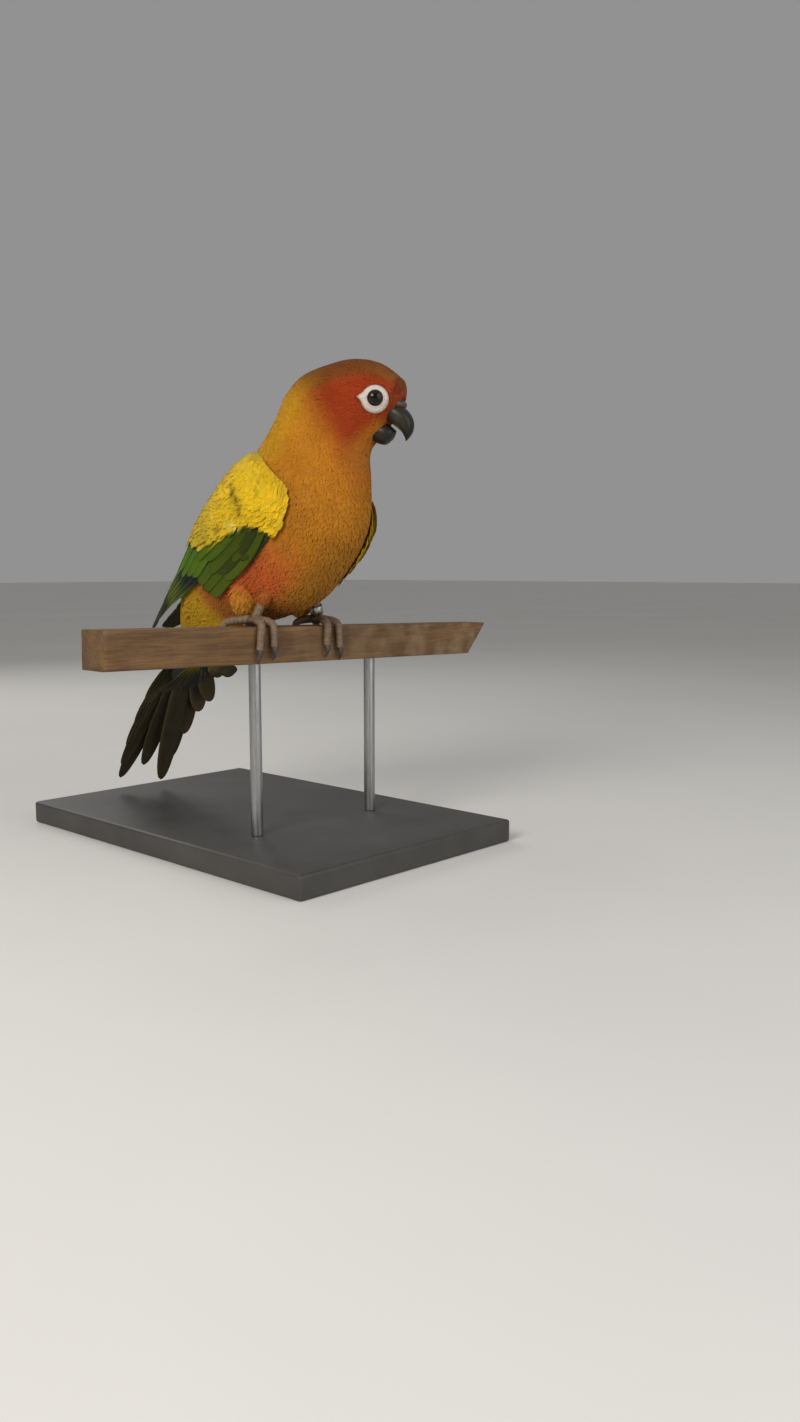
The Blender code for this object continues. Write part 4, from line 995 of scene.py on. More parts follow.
def tierTint(tier, place, tipAngle, ground, t, u):
    # The markings of one large feather over the ground colour, along its length t and across it u, with painted shade
    # towards its root and on the lower half of the secondaries and coverts.
    p = plumage
    a = np.degrees(tipAngle)
    flat = 0 * (t + u)
    edge = smooth(0.5, 0.95, u)
    if tier == "primaries":
        tint = mixed(p["blueGreen"], p["black"], smooth(0.3, 0.6, t) + flat)
        tint = mixed(tint, p["yellowGreen"], edge * band(place, 5.7, 6.9, 0.2) * 0.8)
        tint = mixed(tint, p["tipBrown"], smooth(7.2, 8.6, place) * 0.8 + flat)
    elif tier == "secondaries":
        # Painted shade: the lower half, which lies under the next feather, is mixed towards dark green.
        tint = mixed(ground, p["darkGreen"], (1 - smooth(-0.8, 0.1, u)) * 0.3 + flat)
        tint = mixed(tint, p["yellowGreen"], edge * 0.3 + flat)
    else:
        # Painted shade: the lower half, which lies under the next feather, is mixed towards dark green.
        tint = mixed(ground, p["darkGreen"], (1 - smooth(-0.8, 0.1, u)) * np.where(a > 60, 0.35, 0.1) + flat)
    # Painted shade: darker towards the root, where the row over it lies; a little paler along the shaft.
    shade = 0.8 + 0.2 * smooth(0.3, 0.8, t) + 0.05 * np.exp(-(u / 0.1) ** 2)
    return tint * shade[..., None]


def makeWing(side):
    name = "right" if side < 0 else "left"
    shape = wingShapes[side]
    surface, last = shape["surface"], shape["last"]
    rows = np.array(wing["outline"])
    place = np.linspace(rows[0, 0], rows[-1, 0], 40)
    top, low = (np.radians(np.interp(place, rows[:, 0], rows[:, k])) for k in (1, 2))
    t = np.linspace(0, 1, 24)
    angle = top[:, None] + (low - top)[:, None] * t
    wide = np.broadcast_to(place[:, None], angle.shape)
    over = lifted(surface, wide, angle, coreLift(wide, angle) - 0.35, last, side)
    under = lifted(surface, wide, angle, wing["offBody"] + 0 * wide, last, side)
    rings = np.concatenate([over, under[:, ::-1]], 1)
    # Painted shade: the wing's core under its feathers is drawn at 0.7 of the wing's colour.
    tint = wingGround(side, wide, angle) * 0.7
    core = solidObject(f"wing_{name}_base", rings, side < 0, None, np.concatenate([tint, tint[:, ::-1]], 1))
    dress(core, skinMaterial, "wing_feathers", f"wing_{name}")
    for number, (tier, (count, roots, tips, halfWidth, rootLifts, tipLifts)) in enumerate(wing["tiers"].items()):
        chances = np.random.default_rng(setting["seed"] + 10 * number + (side > 0))
        share = np.linspace(0, 1, count)
        root = [np.interp(share, (0, 1), (roots[0][k], roots[1][k])) for k in (0, 1)]
        tip = [np.interp(share, (0, 1), (tips[0][k], tips[1][k])) for k in (0, 1)]
        root = (root[0] + chances.uniform(-0.04, 0.04, count), np.radians(root[1] + chances.uniform(-1, 1, count)))
        tip = (tip[0] + chances.uniform(-wing["uneven"], wing["uneven"], count),
               np.radians(tip[1] + chances.uniform(-2, 2, count)))
        width = halfWidth * chances.uniform(0.88, 1.08, count)
        widths = bladeWidths(0.6, 0.72 if tier == "primaries" else 0.8)
        t = bladeStations[None, :, None]
        u = bladeColumns[None, None, :]
        across = u * width[:, None, None] * widths[None, :, None]
        lift = (np.interp(share, (0, 1), rootLifts)[:, None, None] * (1 - t)
                + np.interp(share, (0, 1), tipLifts)[:, None, None] * t
                + across * wing["tilt"][tier] - 0.016 * across ** 2 + 0.1 * np.exp(-(u / 0.12) ** 2) * (1 - 0.6 * t))
        ragged = chances.normal(0, 0.3, (count, 1, len(bladeColumns))) * smooth(0.85, 1.0, t)
        points, across, along, bladePlace, _ = vaneGrid(
            shape, root, tip, width, bladeStations, bladeColumns, widths, lift, ragged)
        chance = chances.uniform(0, 1, count)
        reach = 0.75 + 0.25 * t
        groundPlace, groundAngle = ((r[:, None, None] + (e - r)[:, None, None] * reach) for r, e in zip(root, tip))
        if tier == "greaterCoverts":  # some stay yellow to their tips, others are green from further up
            groundPlace = groundPlace - chances.uniform(*wing["fingers"], count)[:, None, None]
        ground = wingGround(side, groundPlace, groundAngle)
        tint = tierTint(tier, bladePlace, tip[1][:, None, None], ground, t, u)
        tint = tint * chances.uniform(0.92, 1.06, (count, 1, 1, 1))
        bladePiece(f"wing_{name}_{tier}", points, across, along, chance, tint, side < 0, "wing_feathers")
    return core


def bulge(place, angle, side):
    a = np.degrees(angle)
    return sum(high * np.exp(-((place - at) / long) ** 2 - ((a - around) / wide) ** 2)
               for at, around, long, wide, high in wing["bulges"] + wing["leftBulges"] * (side > 0))


def covertTint(side, place, angle, chance, t, u):
    p = plumage
    a = np.degrees(angle)
    tint = wingGround(side, place, angle)
    dull = (tint[..., 0] > 0.3) * smooth(0.55, 1.0, chance) * 0.4
    tint = mixed(tint, p["oldYellow"], dull + 0 * (t + u))
    # Painted shadow: the first four marks draw the shadow line behind the shoulder pad; the rest are olive marks.
    for spots, colour in (("marksAndShadowLine", p["markAndShadow"]), ("pales", p["paleYellow"])):
        for at, around, long, wide, strength in wing[spots]:
            tint = mixed(tint, colour, strength * np.exp(-((place - at) / long) ** 2 - ((a - around) / wide) ** 2))
    return mixed(tint, p["nape"], (1 - smooth(0.45, 0.8, place)) * 0.4)


def smallCoverts(side):
    # The soft feathers of the shoulder and of the yellow behind it, smallest at the front.
    name = "right" if side < 0 else "left"
    shape = wingShapes[side]
    rows = np.array(wing["outline"])
    place, angle = scatter(shape, (0.42, 4.6), (math.radians(9), math.radians(117)),
                           lambda p, a: 1.1 + 0.7 * smooth(0.6, 3.2, p), draw)
    top, low = (np.radians(np.interp(place, rows[:, 0], rows[:, k])) for k in (1, 2))
    count = len(place)
    size = smooth(0.6, 3.0, place)
    length = (4.4 + 6.0 * size + 3.0 * smooth(2.8, 3.8, place)) * draw.uniform(0.85, 1.15, count)
    perPlace, _ = metric(shape["surface"], place, angle, shape["last"])
    upper = 1 - smooth(78, 90, np.degrees(angle))
    reach = greenPlace(angle, side) + 0.12 - 0.35 * upper - length / perPlace
    loose = 0.04 + 0.3 * upper  # how unevenly the last yellow feathers end
    past = wing["pastEdge"][side]
    kept = (angle > top - 0.03) & (angle < low + past) & (place < reach + loose * draw.uniform(-1, 1, count))
    place, angle, length, size, low = (v[kept] for v in (place, angle, length, size, low))
    count = len(place)
    width = (1.25 + 0.65 * size) * draw.uniform(0.85, 1.15, count)
    rim = smooth(low - 0.02, low + past, angle) * (side > 0)  # on the left they roll down round the edge
    ground = (coreLift(place, angle) + bulge(place, angle, side)) * (1 - 0.7 * rim)
    rise = np.interp(place, (0.45, 1.0, 1.6, 2.6, 4.4), (0.6, 0.85, 0.9, 1.1, 1.8))
    heading = math.pi + draw.normal(0, coat["jitter"], count)
    pieces = tuftPieces(f"wing_{name}_shoulder", shape, place, angle, heading, length, width,
                        (ground - 0.1, ground + rise), 9, functools.partial(covertTint, side), draw, "covert")
    for piece in pieces:
        dress(piece, vaneMaterial, "wing_feathers")


for side in (-1, 1):
    makeWing(side)
    smallCoverts(side)
print("wings made")

tail = {
    "right": [((-142, 7, -88), 6.5), ((-152.5, -2.5, -96), 6.5), ((-145, -6, -87), 6), ((-136, -8, -75), 6),
              ((-124, -10, -61.5), 6), ((-110, -12, -47), 5.5)],
    "left": [((-140.5, 18, -98), 6), ((-134, 20.5, -84), 6), ((-122, 22, -68.5), 6), ((-108, 22.5, -54), 5.5),
             ((-96, 21.5, -47), 5)],
    "root": (-86, -17), "spread": 1.5, "layer": 0.75, "sag": 2.0, "roll": 0.08, "cup": 0.02,
    "back": (-0.73, 0, 0.68),
    "under": (((-93, -12, -38), (-66, 15, -28)), (-70, -21), 12, 4.4, -1.5),
    "over": (((-106, -7, -26), (-104, 8, -28)), (-86, -8), 7, 3.8, 1.5),
    "core": [((-87, -7), (-68, -20), 8.5), ((-90.5, -14), (-71, -26), 9.5), ((-95, -21), (-77, -32), 9),
             ((-98, -27), (-86, -37), 7), ((-96, -33), (-93, -37), 3)],
}


def straightBlade(root, tip, halfWidth, sag, roll, widths):
    root, tip, back = (np.array(v, float) for v in (root, tip, tail["back"]))
    length = np.linalg.norm(tip - root)
    along = (tip - root) / length
    back = back - along * np.dot(back, along)
    back /= np.linalg.norm(back)
    acrossWay = np.cross(along, back)
    t = bladeStations[:, None]
    u = bladeColumns[None, :]
    across = u * halfWidth * widths[:, None]
    lift = sag * 4 * t * (1 - t) + across * roll - tail["cup"] * across ** 2 + 0.12 * np.exp(-(u / 0.12) ** 2) * (1 - t)
    points = root + (tip - root) * t[..., None] + acrossWay * across[..., None] + back * lift[..., None]
    return points, across, length * t + 0 * across


def makeTail():
    p = plumage
    rings = sectionPoint(splineRows(flatRows(tail["core"]), np.linspace(0, 4, 24))[:, None],
                         np.linspace(0, turnWhole, 40, endpoint=False)[None])
    rings = rings + np.array([-0.7, 0, -0.71]) * 0.4
    # Painted shade: the tail's root core under the quills is drawn black.
    tint = np.broadcast_to(plumage["black"], rings.shape)
    core = solidObject("tail_root", rings, False, None, tint)
    dress(core, skinMaterial, "tail_feathers", "tail")
    chances = np.random.default_rng(setting["seed"] + 90)
    t = bladeStations[:, None]
    u = bladeColumns[None, :]
    widths = bladeWidths(0.6, 0.62, 0.08)
    blades = []
    back = np.array(tail["back"])
    for side, feathers in ((-1, tail["right"]), (1, tail["left"])):
        for k, (end, halfWidth) in enumerate(feathers):
            root = np.array([tail["root"][0], side * tail["spread"] * (k + 0.5), tail["root"][1]])
            root = root - back * tail["layer"] * k
            points, across, along = straightBlade(root, end, halfWidth, tail["sag"], -side * tail["roll"], widths)
            outer = smooth(0.45, 0.95, -u * side)
            rim = np.maximum(outer * 0.8, smooth(0.75, 1.0, np.abs(u)) * 0.5)
            tint = mixed(p["tailDark"], p["tailEdge"], rim + 0 * t)
            tint = mixed(tint, p["tailBrown"], smooth(0.6, 1.0, t) * 0.6 + 0 * u)
            blades.append((points, across, along, tint * chances.uniform(0.85, 1.15)))
    chance = chances.uniform(0, 1, len(blades))
    bladePiece("tail_quills", *(np.array([b[i] for b in blades]) for i in range(3)), chance,
               np.array([b[3] for b in blades]), False, "tail_feathers")
    for label, way in (("under", -1), ("over", 1)):
        ends, middle, count, halfWidth, sag = tail[label]
        blades = []
        for share in np.linspace(0, 1, count):
            end = np.array(ends[0]) * (1 - share) + np.array(ends[1]) * share + chances.uniform(-1.5, 1.5, 3)
            root = np.array([middle[0], (share - 0.5) * 12.0, middle[1]])
            points, across, along = straightBlade(root, end, halfWidth, sag, 0.0, bladeWidths(0.6, 0.7, 0.3))
            if label == "under":
                tint = mixed(p["ventOlive"], p["tailDark"], smooth(0.1, 0.6, t) + 0 * u)
            else:
                tint = mixed(p["mantle"], p["ventOlive"], smooth(0.4, 0.95, t) + 0 * u)
            blades.append((points, across, along, tint * chances.uniform(0.85, 1.1)))
        chance = chances.uniform(0, 1, count)
        bladePiece(f"tail_{label}", *(np.array([b[i] for b in blades]) for i in range(3)), chance,
                   np.array([b[3] for b in blades]), False, "tail_feathers")


makeTail()
print("tail made")


headPoints, _, _ = shapeGrid(skinShape, np.linspace(8, skinShape["last"], 120), np.linspace(-math.pi, math.pi, 121),
                             lambda p: 0 * p)
headTree = BVHTree.FromPolygons([Vector(q) for q in headPoints.reshape(-1, 3)],
                                gridFaces(1, 120, 121).tolist())

eyeMaterial, eyeTree, eyeShader = newMaterial("eyeball", 0.12)
eyePlace = eyeTree.nodes.new("ShaderNodeTexCoord")
eyeParts = eyeTree.nodes.new("ShaderNodeSeparateXYZ")
eyeTree.links.new(eyePlace.outputs["Object"], eyeParts.inputs[0])
eyeSquares = [mathNode(eyeTree, "MULTIPLY", eyeParts.outputs[k], eyeParts.outputs[k]) for k in "XY"]
eyeWide = mathNode(eyeTree, "SQRT", mathNode(eyeTree, "ADD", *eyeSquares))
eyeFlecks = noiseNode(eyeTree, eyePlace.outputs["Object"], 1400.0, 3.0, 0.6)
eyeIris = mixColours(eyeTree, rangeNode(eyeTree, eyeFlecks, 0.3, 0.7, 0.0, 1.0), rgb(22, 15, 10), rgb(46, 32, 20))
eyeTree.links.new(mixColours(eyeTree, rangeNode(eyeTree, eyeWide, 0.00195, 0.0022, 0.0, 1.0), rgb(6, 5, 4), eyeIris),
                  eyeShader.inputs["Base Color"])
eyeShader.inputs["Specular IOR Level"].default_value = 0.1
eyeShader.inputs["Coat Weight"].default_value = 0.35
eyeShader.inputs["Coat Roughness"].default_value = 0.03

ringMaterial, ringTree, ringShader = newMaterial("bareSkin", 0.62)
ringTint = ringTree.nodes.new("ShaderNodeAttribute")
ringTint.attribute_name = "tint"
ringPlace = ringTree.nodes.new("ShaderNodeTexCoord")
ringGrains = ringTree.nodes.new("ShaderNodeTexVoronoi")
ringGrains.inputs["Scale"].default_value = 1500.0
ringTree.links.new(ringPlace.outputs["Object"], ringGrains.inputs["Vector"])
ringShade = rangeNode(ringTree, ringGrains.outputs["Distance"], 0.0, 0.7, 1.06, 0.72)
ringTree.links.new(scaled(ringTree, ringTint.outputs["Color"], ringShade), ringShader.inputs["Base Color"])
bumpNode(ringTree, mathNode(ringTree, "SUBTRACT", 1.0, ringGrains.outputs["Distance"]), 0.25, 0.0002, ringShader)
ringShader.inputs["Subsurface Weight"].default_value = 0.1
ringShader.inputs["Subsurface Radius"].default_value = (0.001, 0.0005, 0.0003)
ring = {
    # Across the bare ring from the eye outward: share of the way, and height over the head, in millimetres.
    "profile": ((0.0, 0.75), (0.06, 1.1), (0.14, 1.42), (0.24, 1.42), (0.34, 1.08), (0.46, 1.16), (0.6, 1.12),
                (0.74, 0.95), (0.88, 0.6), (0.96, 0.1), (1.0, -0.9)),
    "inner": 3.4,
    "around": 96,
    "pinkFrom": (6.9, 8.2),  # how far out the corner turns pink
}


def makeEye(side):
    name = "right" if side < 0 else "left"
    here, outward, backward, up = frameAt(side)
    centre = here - outward * eye["sink"]
    mesh = bmesh.new()
    bmesh.ops.create_uvsphere(mesh, u_segments=64, v_segments=40, radius=eye["radius"] * mm)
    data = bpy.data.meshes.new(f"eyeball_{name}")
    mesh.to_mesh(data)
    mesh.free()
    data.polygons.foreach_set("use_smooth", [True] * len(data.polygons))
    ball = bpy.data.objects.new(f"eyeball_{name}", data)
    bpy.context.scene.collection.objects.link(ball)
    worldOut = Vector(feetTurn @ outward).normalized()
    worldUp = Vector(feetTurn @ up).normalized()
    axes = Matrix((worldUp.cross(worldOut), worldUp, worldOut)).transposed().to_4x4()
    ball.matrix_world = Matrix.Translation(Vector(toWorld(centre))) @ axes
    dress(ball, eyeMaterial, "eyes", f"eye_{name}")
    ways = np.linspace(0, turnWhole, ring["around"], endpoint=False)
    reach = ringReach(ways)
    points, tints = [], []
    chances = np.random.default_rng(setting["seed"] + 200 + side)
    white, pink, grey = rgb(214, 203, 192), rgb(198, 122, 104), rgb(84, 72, 66)
    for share, height in ring["profile"]:
        radius = ring["inner"] + (reach - ring["inner"]) * share
        start = here + outward * 14 + (backward * np.cos(ways)[:, None] + up * np.sin(ways)[:, None]) * radius[:, None]
        row, tintRow = [], []
        for k, point in enumerate(start):
            hit, _, _, _ = headTree.ray_cast(Vector(point), Vector(-outward), 40)
            ground = np.array(hit) if hit is not None else point - outward * 14
            wrinkle = 0.05 * math.sin(ways[k] * 17 + share * 9) * (0.2 < share < 0.9)
            row.append(ground + outward * (height + wrinkle + chances.normal(0, 0.025)))
            pinkness = max(float(smooth(*ring["pinkFrom"], radius[k])), float(smooth(0.8, 1.0, share)) * 0.5)
            colour = mixed(white, pink, pinkness * 0.85)
            tintRow.append(mixed(colour, grey, (1 - float(smooth(0.02, 0.16, share))) * 0.8))
        points.append(row)
        tints.append(tintRow)
    points, tints = np.array(points), np.array(tints)
    rows, around = points.shape[:2]
    points = np.concatenate([points, points[:, :1]], 1)
    tints = np.concatenate([tints, tints[:, :1]], 1)
    rightHanded = np.dot(np.cross(backward, up), outward) > 0
    eyeRing = meshObject(f"eye_ring_{name}", points.reshape(-1, 3), gridFaces(1, rows, around + 1), rightHanded,
                         None, None, tints.reshape(-1, 3))
    finer = eyeRing.modifiers.new("finer", "SUBSURF")
    finer.levels = finer.render_levels = 1
    dress(eyeRing, ringMaterial, "foot_skin")


for side in (-1, 1):
    makeEye(side)
print("eyes made")

bill = {
    "upper": [((52, 106), (49, 99.5), 5.6), ((58.4, 104.6), (54.2, 96.2), 5.8), ((62.8, 101), (57.2, 94), 5.2),
              ((64.8, 96.8), (59.4, 92), 4.2), ((64.6, 92.8), (60.4, 90.4), 2.9), ((63.3, 90.2), (61, 89.2), 1.6)],
    "upperTip": (61.4, 88.0),
    "lower": [((45, 97.5), (42.5, 90), 5.0), ((51.5, 96.6), (47, 87.4), 5.1), ((54.3, 94.8), (51.0, 86.6), 4.4),
              ((56.0, 93.2), (53.8, 88.4), 3.0)],
    "lowerTip": (56.4, 92.4),
}
billMaterial, billNodes, billShader = newMaterial("billHorn", 0.36)
billTint = billNodes.nodes.new("ShaderNodeAttribute")
billTint.attribute_name = "tint"
billPatches = useGroup(billNodes, softMottle, Scale=420.0, Low=0.8, High=1.22)
billLines = useGroup(billNodes, featherBarbs, Lines=1.6, Slant=0.15)
billNodes.links.new(scaled(billNodes, billTint.outputs["Color"], billPatches["Shade"], billLines["Shade"]),
                    billShader.inputs["Base Color"])
bumpNode(billNodes, mathNode(billNodes, "ADD", mathNode(billNodes, "MULTIPLY", billLines["Height"], 0.25),
                             billPatches["Factor"]), 0.35, 0.00015, billShader)
billShader.inputs["Specular IOR Level"].default_value = 0.28


def makeBill(name, sections, tip, upper):
    rows = flatRows(sections)
    count = len(rows) - 1
    around = 40
    angle = np.linspace(0, turnWhole, around, endpoint=False)
    at = np.linspace(0, count, 30)
    rings = sectionPoint(splineRows(rows, at)[:, None], angle[None])
    middle = rings[-1].mean(0)
    end = np.array([tip[0], 0, tip[1]])
    for share in (0.35, 0.65, 0.88):  # rounds the last stretch off into the point
        narrow = (1 - share) ** 0.7
        rings = np.concatenate([rings, (middle + (end - middle) * share + (rings[29] - middle) * narrow)[None]])
    total = len(rings)
    along = np.linspace(0, 1, total)[:, None] + 0 * angle[None]
    underside = smooth(0.2, 0.9, -np.cos(angle))[None] + 0 * along
    horn, dark = rgb(46, 42, 33), rgb(27, 24, 20)
    tint = mixed(horn, dark, smooth(0.2, 0.8, along) if upper else 0.6 + 0.4 * along)
    if upper:
        # Painted highlight: a pale streak along both cutting edges of the upper bill.
        edges = sum(np.exp(-((angle - math.radians(way)) / 0.16) ** 2) for way in (150, 210))
        tint = mixed(tint, rgb(128, 106, 92), edges[None] * band(along, 0.25, 0.6, 0.1) * 0.7)
    vectors = np.stack([underside * 3, along * 26, 0.3 + 0 * along], -1)
    piece = solidObject(f"{name}_horn", inHead(rings), False, vectors, tint)
    return dress(piece, billMaterial, "bill_horn", name)


makeBill("bill_upper", bill["upper"], bill["upperTip"], True)
makeBill("bill_lower", bill["lower"], bill["lowerTip"], False)


def makeCere():
    # Bare skin over the root of the bill, pressed in at both nostrils, with painted shade in the nostril hollows.
    polar = np.linspace(0.05, math.pi - 0.05, 30)[:, None]
    angle = np.linspace(0, turnWhole, 48, endpoint=False)[None]
    way = np.stack(np.broadcast_arrays(np.sin(polar) * np.cos(angle), np.sin(polar) * np.sin(angle), np.cos(polar)), -1)
    size = np.ones(way.shape[:2])
    dark = np.zeros(way.shape[:2])
    for side in (-1, 1):
        nostril = np.array([cere["nostrilWay"][0], cere["nostrilWay"][1] * side, cere["nostrilWay"][2]])
        nostril /= np.linalg.norm(nostril)
        off = np.linalg.norm(way - nostril, axis=-1)
        size += 0.10 * np.exp(-((off - 0.42) / 0.14) ** 2) - 0.45 * np.exp(-(off / 0.22) ** 2)
        dark = np.maximum(dark, np.exp(-(off / 0.26) ** 2))
    points = cere["at"] + way * cere["radii"] * size[..., None]
    # Painted shade: the nostril hollows are drawn near black.
    tint = mixed(rgb(96, 74, 56), rgb(24, 18, 15), dark)
    piece = solidObject("cere_skin", inHead(points), True, None, tint)
    return dress(piece, ringMaterial, "foot_skin")


makeCere()
print("bill made")

foot = {
    "out": 21.0, "shank": [(0.5, 0, 3), (1.2, 1.6, 7), (1.9, 3.2, 11), (1.6, 6, 16), (0, 10, 22)],
    "shankRadius": 2.2, "pad": (4.2, 4.2, 2.2), "toeRadius": 1.9, "over": 0.3,
    "toes": [(2.5, 3.5, 1, 9.5), (-3.5, -5.5, 1, 11), (-8, -11, -1, 4), (3.5, 6, -1, 7)],
    "claw": [(0, 0), (2.2, 0.5), (4.4, 0.1), (6.5, -1.6)], "clawRadii": (1.51, 0.16),
    "perchForward": -5.0, "perchSide": 18.0,
}


def curvePoints(points, steps):
    points = np.array(points, float)
    return splineRows(points, np.linspace(0, len(points) - 1, steps))


def tubeRings(path, radii, around):
    # Rings square to a path, without twist.
    ways = np.gradient(path, axis=0)
    ways /= np.linalg.norm(ways, axis=1, keepdims=True)
    side = np.cross(ways[0], (0.3, 0.9, 0.1))
    side /= np.linalg.norm(side)
    rings = []
    angle = np.linspace(0, turnWhole, around, endpoint=False)
    for point, way, radius in zip(path, ways, radii):
        side = side - way * side.dot(way)
        side /= np.linalg.norm(side)
        other = np.cross(way, side)
        rings.append(point + (np.cos(angle)[:, None] * side + np.sin(angle)[:, None] * other) * np.reshape(radius, (-1, 1)))
    return np.array(rings)


def scuted(t, count, depth):
    # Rings of overlapping scales along a toe or shank.
    wave = (t * count) % 1.0
    return 1 + depth * (wave ** 0.6 - 0.55)


footMaterial, footTree, footShader = newMaterial("footScales", 0.55)
footTint = footTree.nodes.new("ShaderNodeAttribute")
footTint.attribute_name = "tint"
footPlace = footTree.nodes.new("ShaderNodeTexCoord")
footCells = footTree.nodes.new("ShaderNodeTexVoronoi")
footCells.feature = "DISTANCE_TO_EDGE"
footCells.inputs["Scale"].default_value = 900.0
footTree.links.new(footPlace.outputs["Object"], footCells.inputs["Vector"])
footSeam = rangeNode(footTree, footCells.outputs["Distance"], 0.0, 0.12, 0.0, 1.0)
footPatches = useGroup(footTree, softMottle, Scale=300.0, Low=0.85, High=1.12)
footTree.links.new(scaled(footTree, footTint.outputs["Color"], rangeNode(footTree, footSeam, 0.0, 1.0, 0.6, 1.02),
                          footPatches["Shade"]), footShader.inputs["Base Color"])
bumpNode(footTree, footSeam, 0.6, 0.0002, footShader)
clawMaterial, clawTree, clawShader = newMaterial("clawHorn", 0.38)
clawPatches = useGroup(clawTree, softMottle, Scale=500.0, Low=0.0, High=1.0)
clawTree.links.new(mixColours(clawTree, clawPatches["Shade"], rgb(34, 29, 26), rgb(78, 66, 58)), clawShader.inputs["Base Color"])
bumpNode(clawTree, clawPatches["Factor"], 0.2, 0.0002, clawShader)


def toePath(toe, side):
    across, end, face, down = toe
    clear = foot["toeRadius"] + foot["over"]
    edge = foot["perchForward"] + face * foot["perchSide"] / 2
    points = [
        (foot["perchForward"] + face * 1.5, across * 0.15, clear + 1.2),
        (foot["perchForward"] + face * 5.5, across * 0.6, clear + 0.7),
        (edge - face * 0.5, across, clear + 0.1),
        (edge + face * clear * 0.9, across + (end - across) * 0.4, clear * 0.35),
        (edge + face * clear, end - (end - across) * 0.2, -down * 0.5),
        (edge + face * clear, end, -down),
    ]
    return np.array([(x, (y - foot["out"]) * -side, z) for x, y, z in points])


def shankPoints(side):
    return np.array([(foot["perchForward"] + x, (y - foot["out"]) * -side, z) for x, y, z in foot["shank"]])


def makeFoot(side):
    name = "right" if side < 0 else "left"
    pieces = []
    skin, pale = rgb(108, 86, 66), rgb(146, 119, 95)
    for path, radius, count, isToe in ([(shankPoints(side), foot["shankRadius"], 13, False)]
                                       + [(toePath(toe, side), foot["toeRadius"], 11, True) for toe in foot["toes"]]):
        steps = 78
        line = curvePoints(path, steps)
        t = np.linspace(0, 1, steps)
        radii = radius * ((1.12 - 0.3 * t + 0.06 * np.cos(t * 9.5) ** 2) if isToe else 1 + 0 * t)
        radii = radii * scuted(t, count, 0.09)
        rings = tubeRings(line, radii, 24)
        if isToe:
            rings = np.concatenate([rings, rings[-1:].mean(1, keepdims=True) + (rings[-1:] - rings[-1:].mean(1, keepdims=True)) * 0.6
                                    + (line[-1] - line[-2]) / np.linalg.norm(line[-1] - line[-2]) * 0.28])
        wave = (np.linspace(0, 1, len(rings)) * count) % 1.0
        tint = mixed(skin, pale, (0.25 + 0.5 * wave ** 2)[:, None] + np.zeros((1, 24)))
        pieces.append(solidObject("footPart", rings, False, None, tint))
    centre = shankPoints(side)[0]
    polar = np.linspace(0.08, math.pi - 0.08, 20)[:, None]
    angle = np.linspace(0, turnWhole, 32, endpoint=False)[None]
    way = np.stack(np.broadcast_arrays(np.sin(polar) * np.cos(angle), np.sin(polar) * np.sin(angle), np.cos(polar)), -1)
    pad = centre + way * np.array(foot["pad"])
    pieces.append(solidObject("footPart", pad, True, None, np.broadcast_to(skin, pad.shape)))
    dress(joinedMesh(f"foot_{name}_skin", pieces), footMaterial, "foot_skin", f"foot_{name}")
    claws = []
    for toe in foot["toes"]:
        path = toePath(toe, side)
        fine = curvePoints(path, 12)
        down = fine[-1] - fine[-2]
        down /= np.linalg.norm(down)
        out = np.array([toe[2], 0.0, 0.0])
        line = curvePoints([path[-1] + down * (on + foot["over"]) + out * off for on, off in foot["claw"]], 24)
        t = np.linspace(0, 1, 24)
        thick, thin = foot["clawRadii"]
        claws.append(solidObject("clawPart", tubeRings(line, thin + (thick - thin) * (1 - t ** 1.6), 18)))
    dress(joinedMesh(f"claws_{name}", claws), clawMaterial, "claws", *(f"claw_{name}_{i}" for i in range(1, 5)))


for side in (-1, 1):
    makeFoot(side)

metalMaterial, metalTree, metalShader = newMaterial("bandMetal", 0.34, 1.0)
metalPlace = metalTree.nodes.new("ShaderNodeTexCoord")
metalScratch = noiseNode(metalTree, metalPlace.outputs["Object"], 900.0, 6.0, 0.7)
metalTree.links.new(mixColours(metalTree, metalScratch, rgb(120, 118, 112), rgb(196, 194, 188)), metalShader.inputs["Base Color"])
metalTree.links.new(rangeNode(metalTree, metalScratch, 0.3, 0.7, 0.24, 0.5), metalShader.inputs["Roughness"])
bumpNode(metalTree, metalScratch, 0.15, 0.0001, metalShader)
legBand = {"inner": 2.75, "outer": 3.35, "height": 4.6, "place": 2.6, "steps": 8, "round": 0.18}


def makeBand():
    line = curvePoints(shankPoints(1), legBand["steps"] + 1)
    low = int(legBand["place"])
    at = line[low] + (line[low + 1] - line[low]) * (legBand["place"] - low)
    way = line[low + 1] - line[low]
    turn = np.array(Vector(way).to_track_quat("Z", "Y").to_matrix())
    half, soft = legBand["height"] / 2, legBand["round"]
    profile = [(legBand["outer"], -half + soft), (legBand["outer"], half - soft), (legBand["outer"] - soft, half),
               (legBand["inner"] + soft, half), (legBand["inner"], half - soft), (legBand["inner"], -half + soft),
               (legBand["inner"] + soft, -half), (legBand["outer"] - soft, -half)]
    angle = np.linspace(0, turnWhole, 73)
    grid = np.array([[(r * math.cos(a), r * math.sin(a), z) for a in angle] for r, z in profile + profile[:1]])
    piece = meshObject("band_ring", (grid @ turn.T + at).reshape(-1, 3), gridFaces(1, *grid.shape[:2]), True)
    mesh = bmesh.new()
    mesh.from_mesh(piece.data)
    bmesh.ops.remove_doubles(mesh, verts=mesh.verts, dist=1e-6)
    bmesh.ops.recalc_face_normals(mesh, faces=mesh.faces)
    mesh.to_mesh(piece.data)
    mesh.free()
    return dress(piece, metalMaterial, "band_metal", "leg_band")


makeBand()
print("feet made")

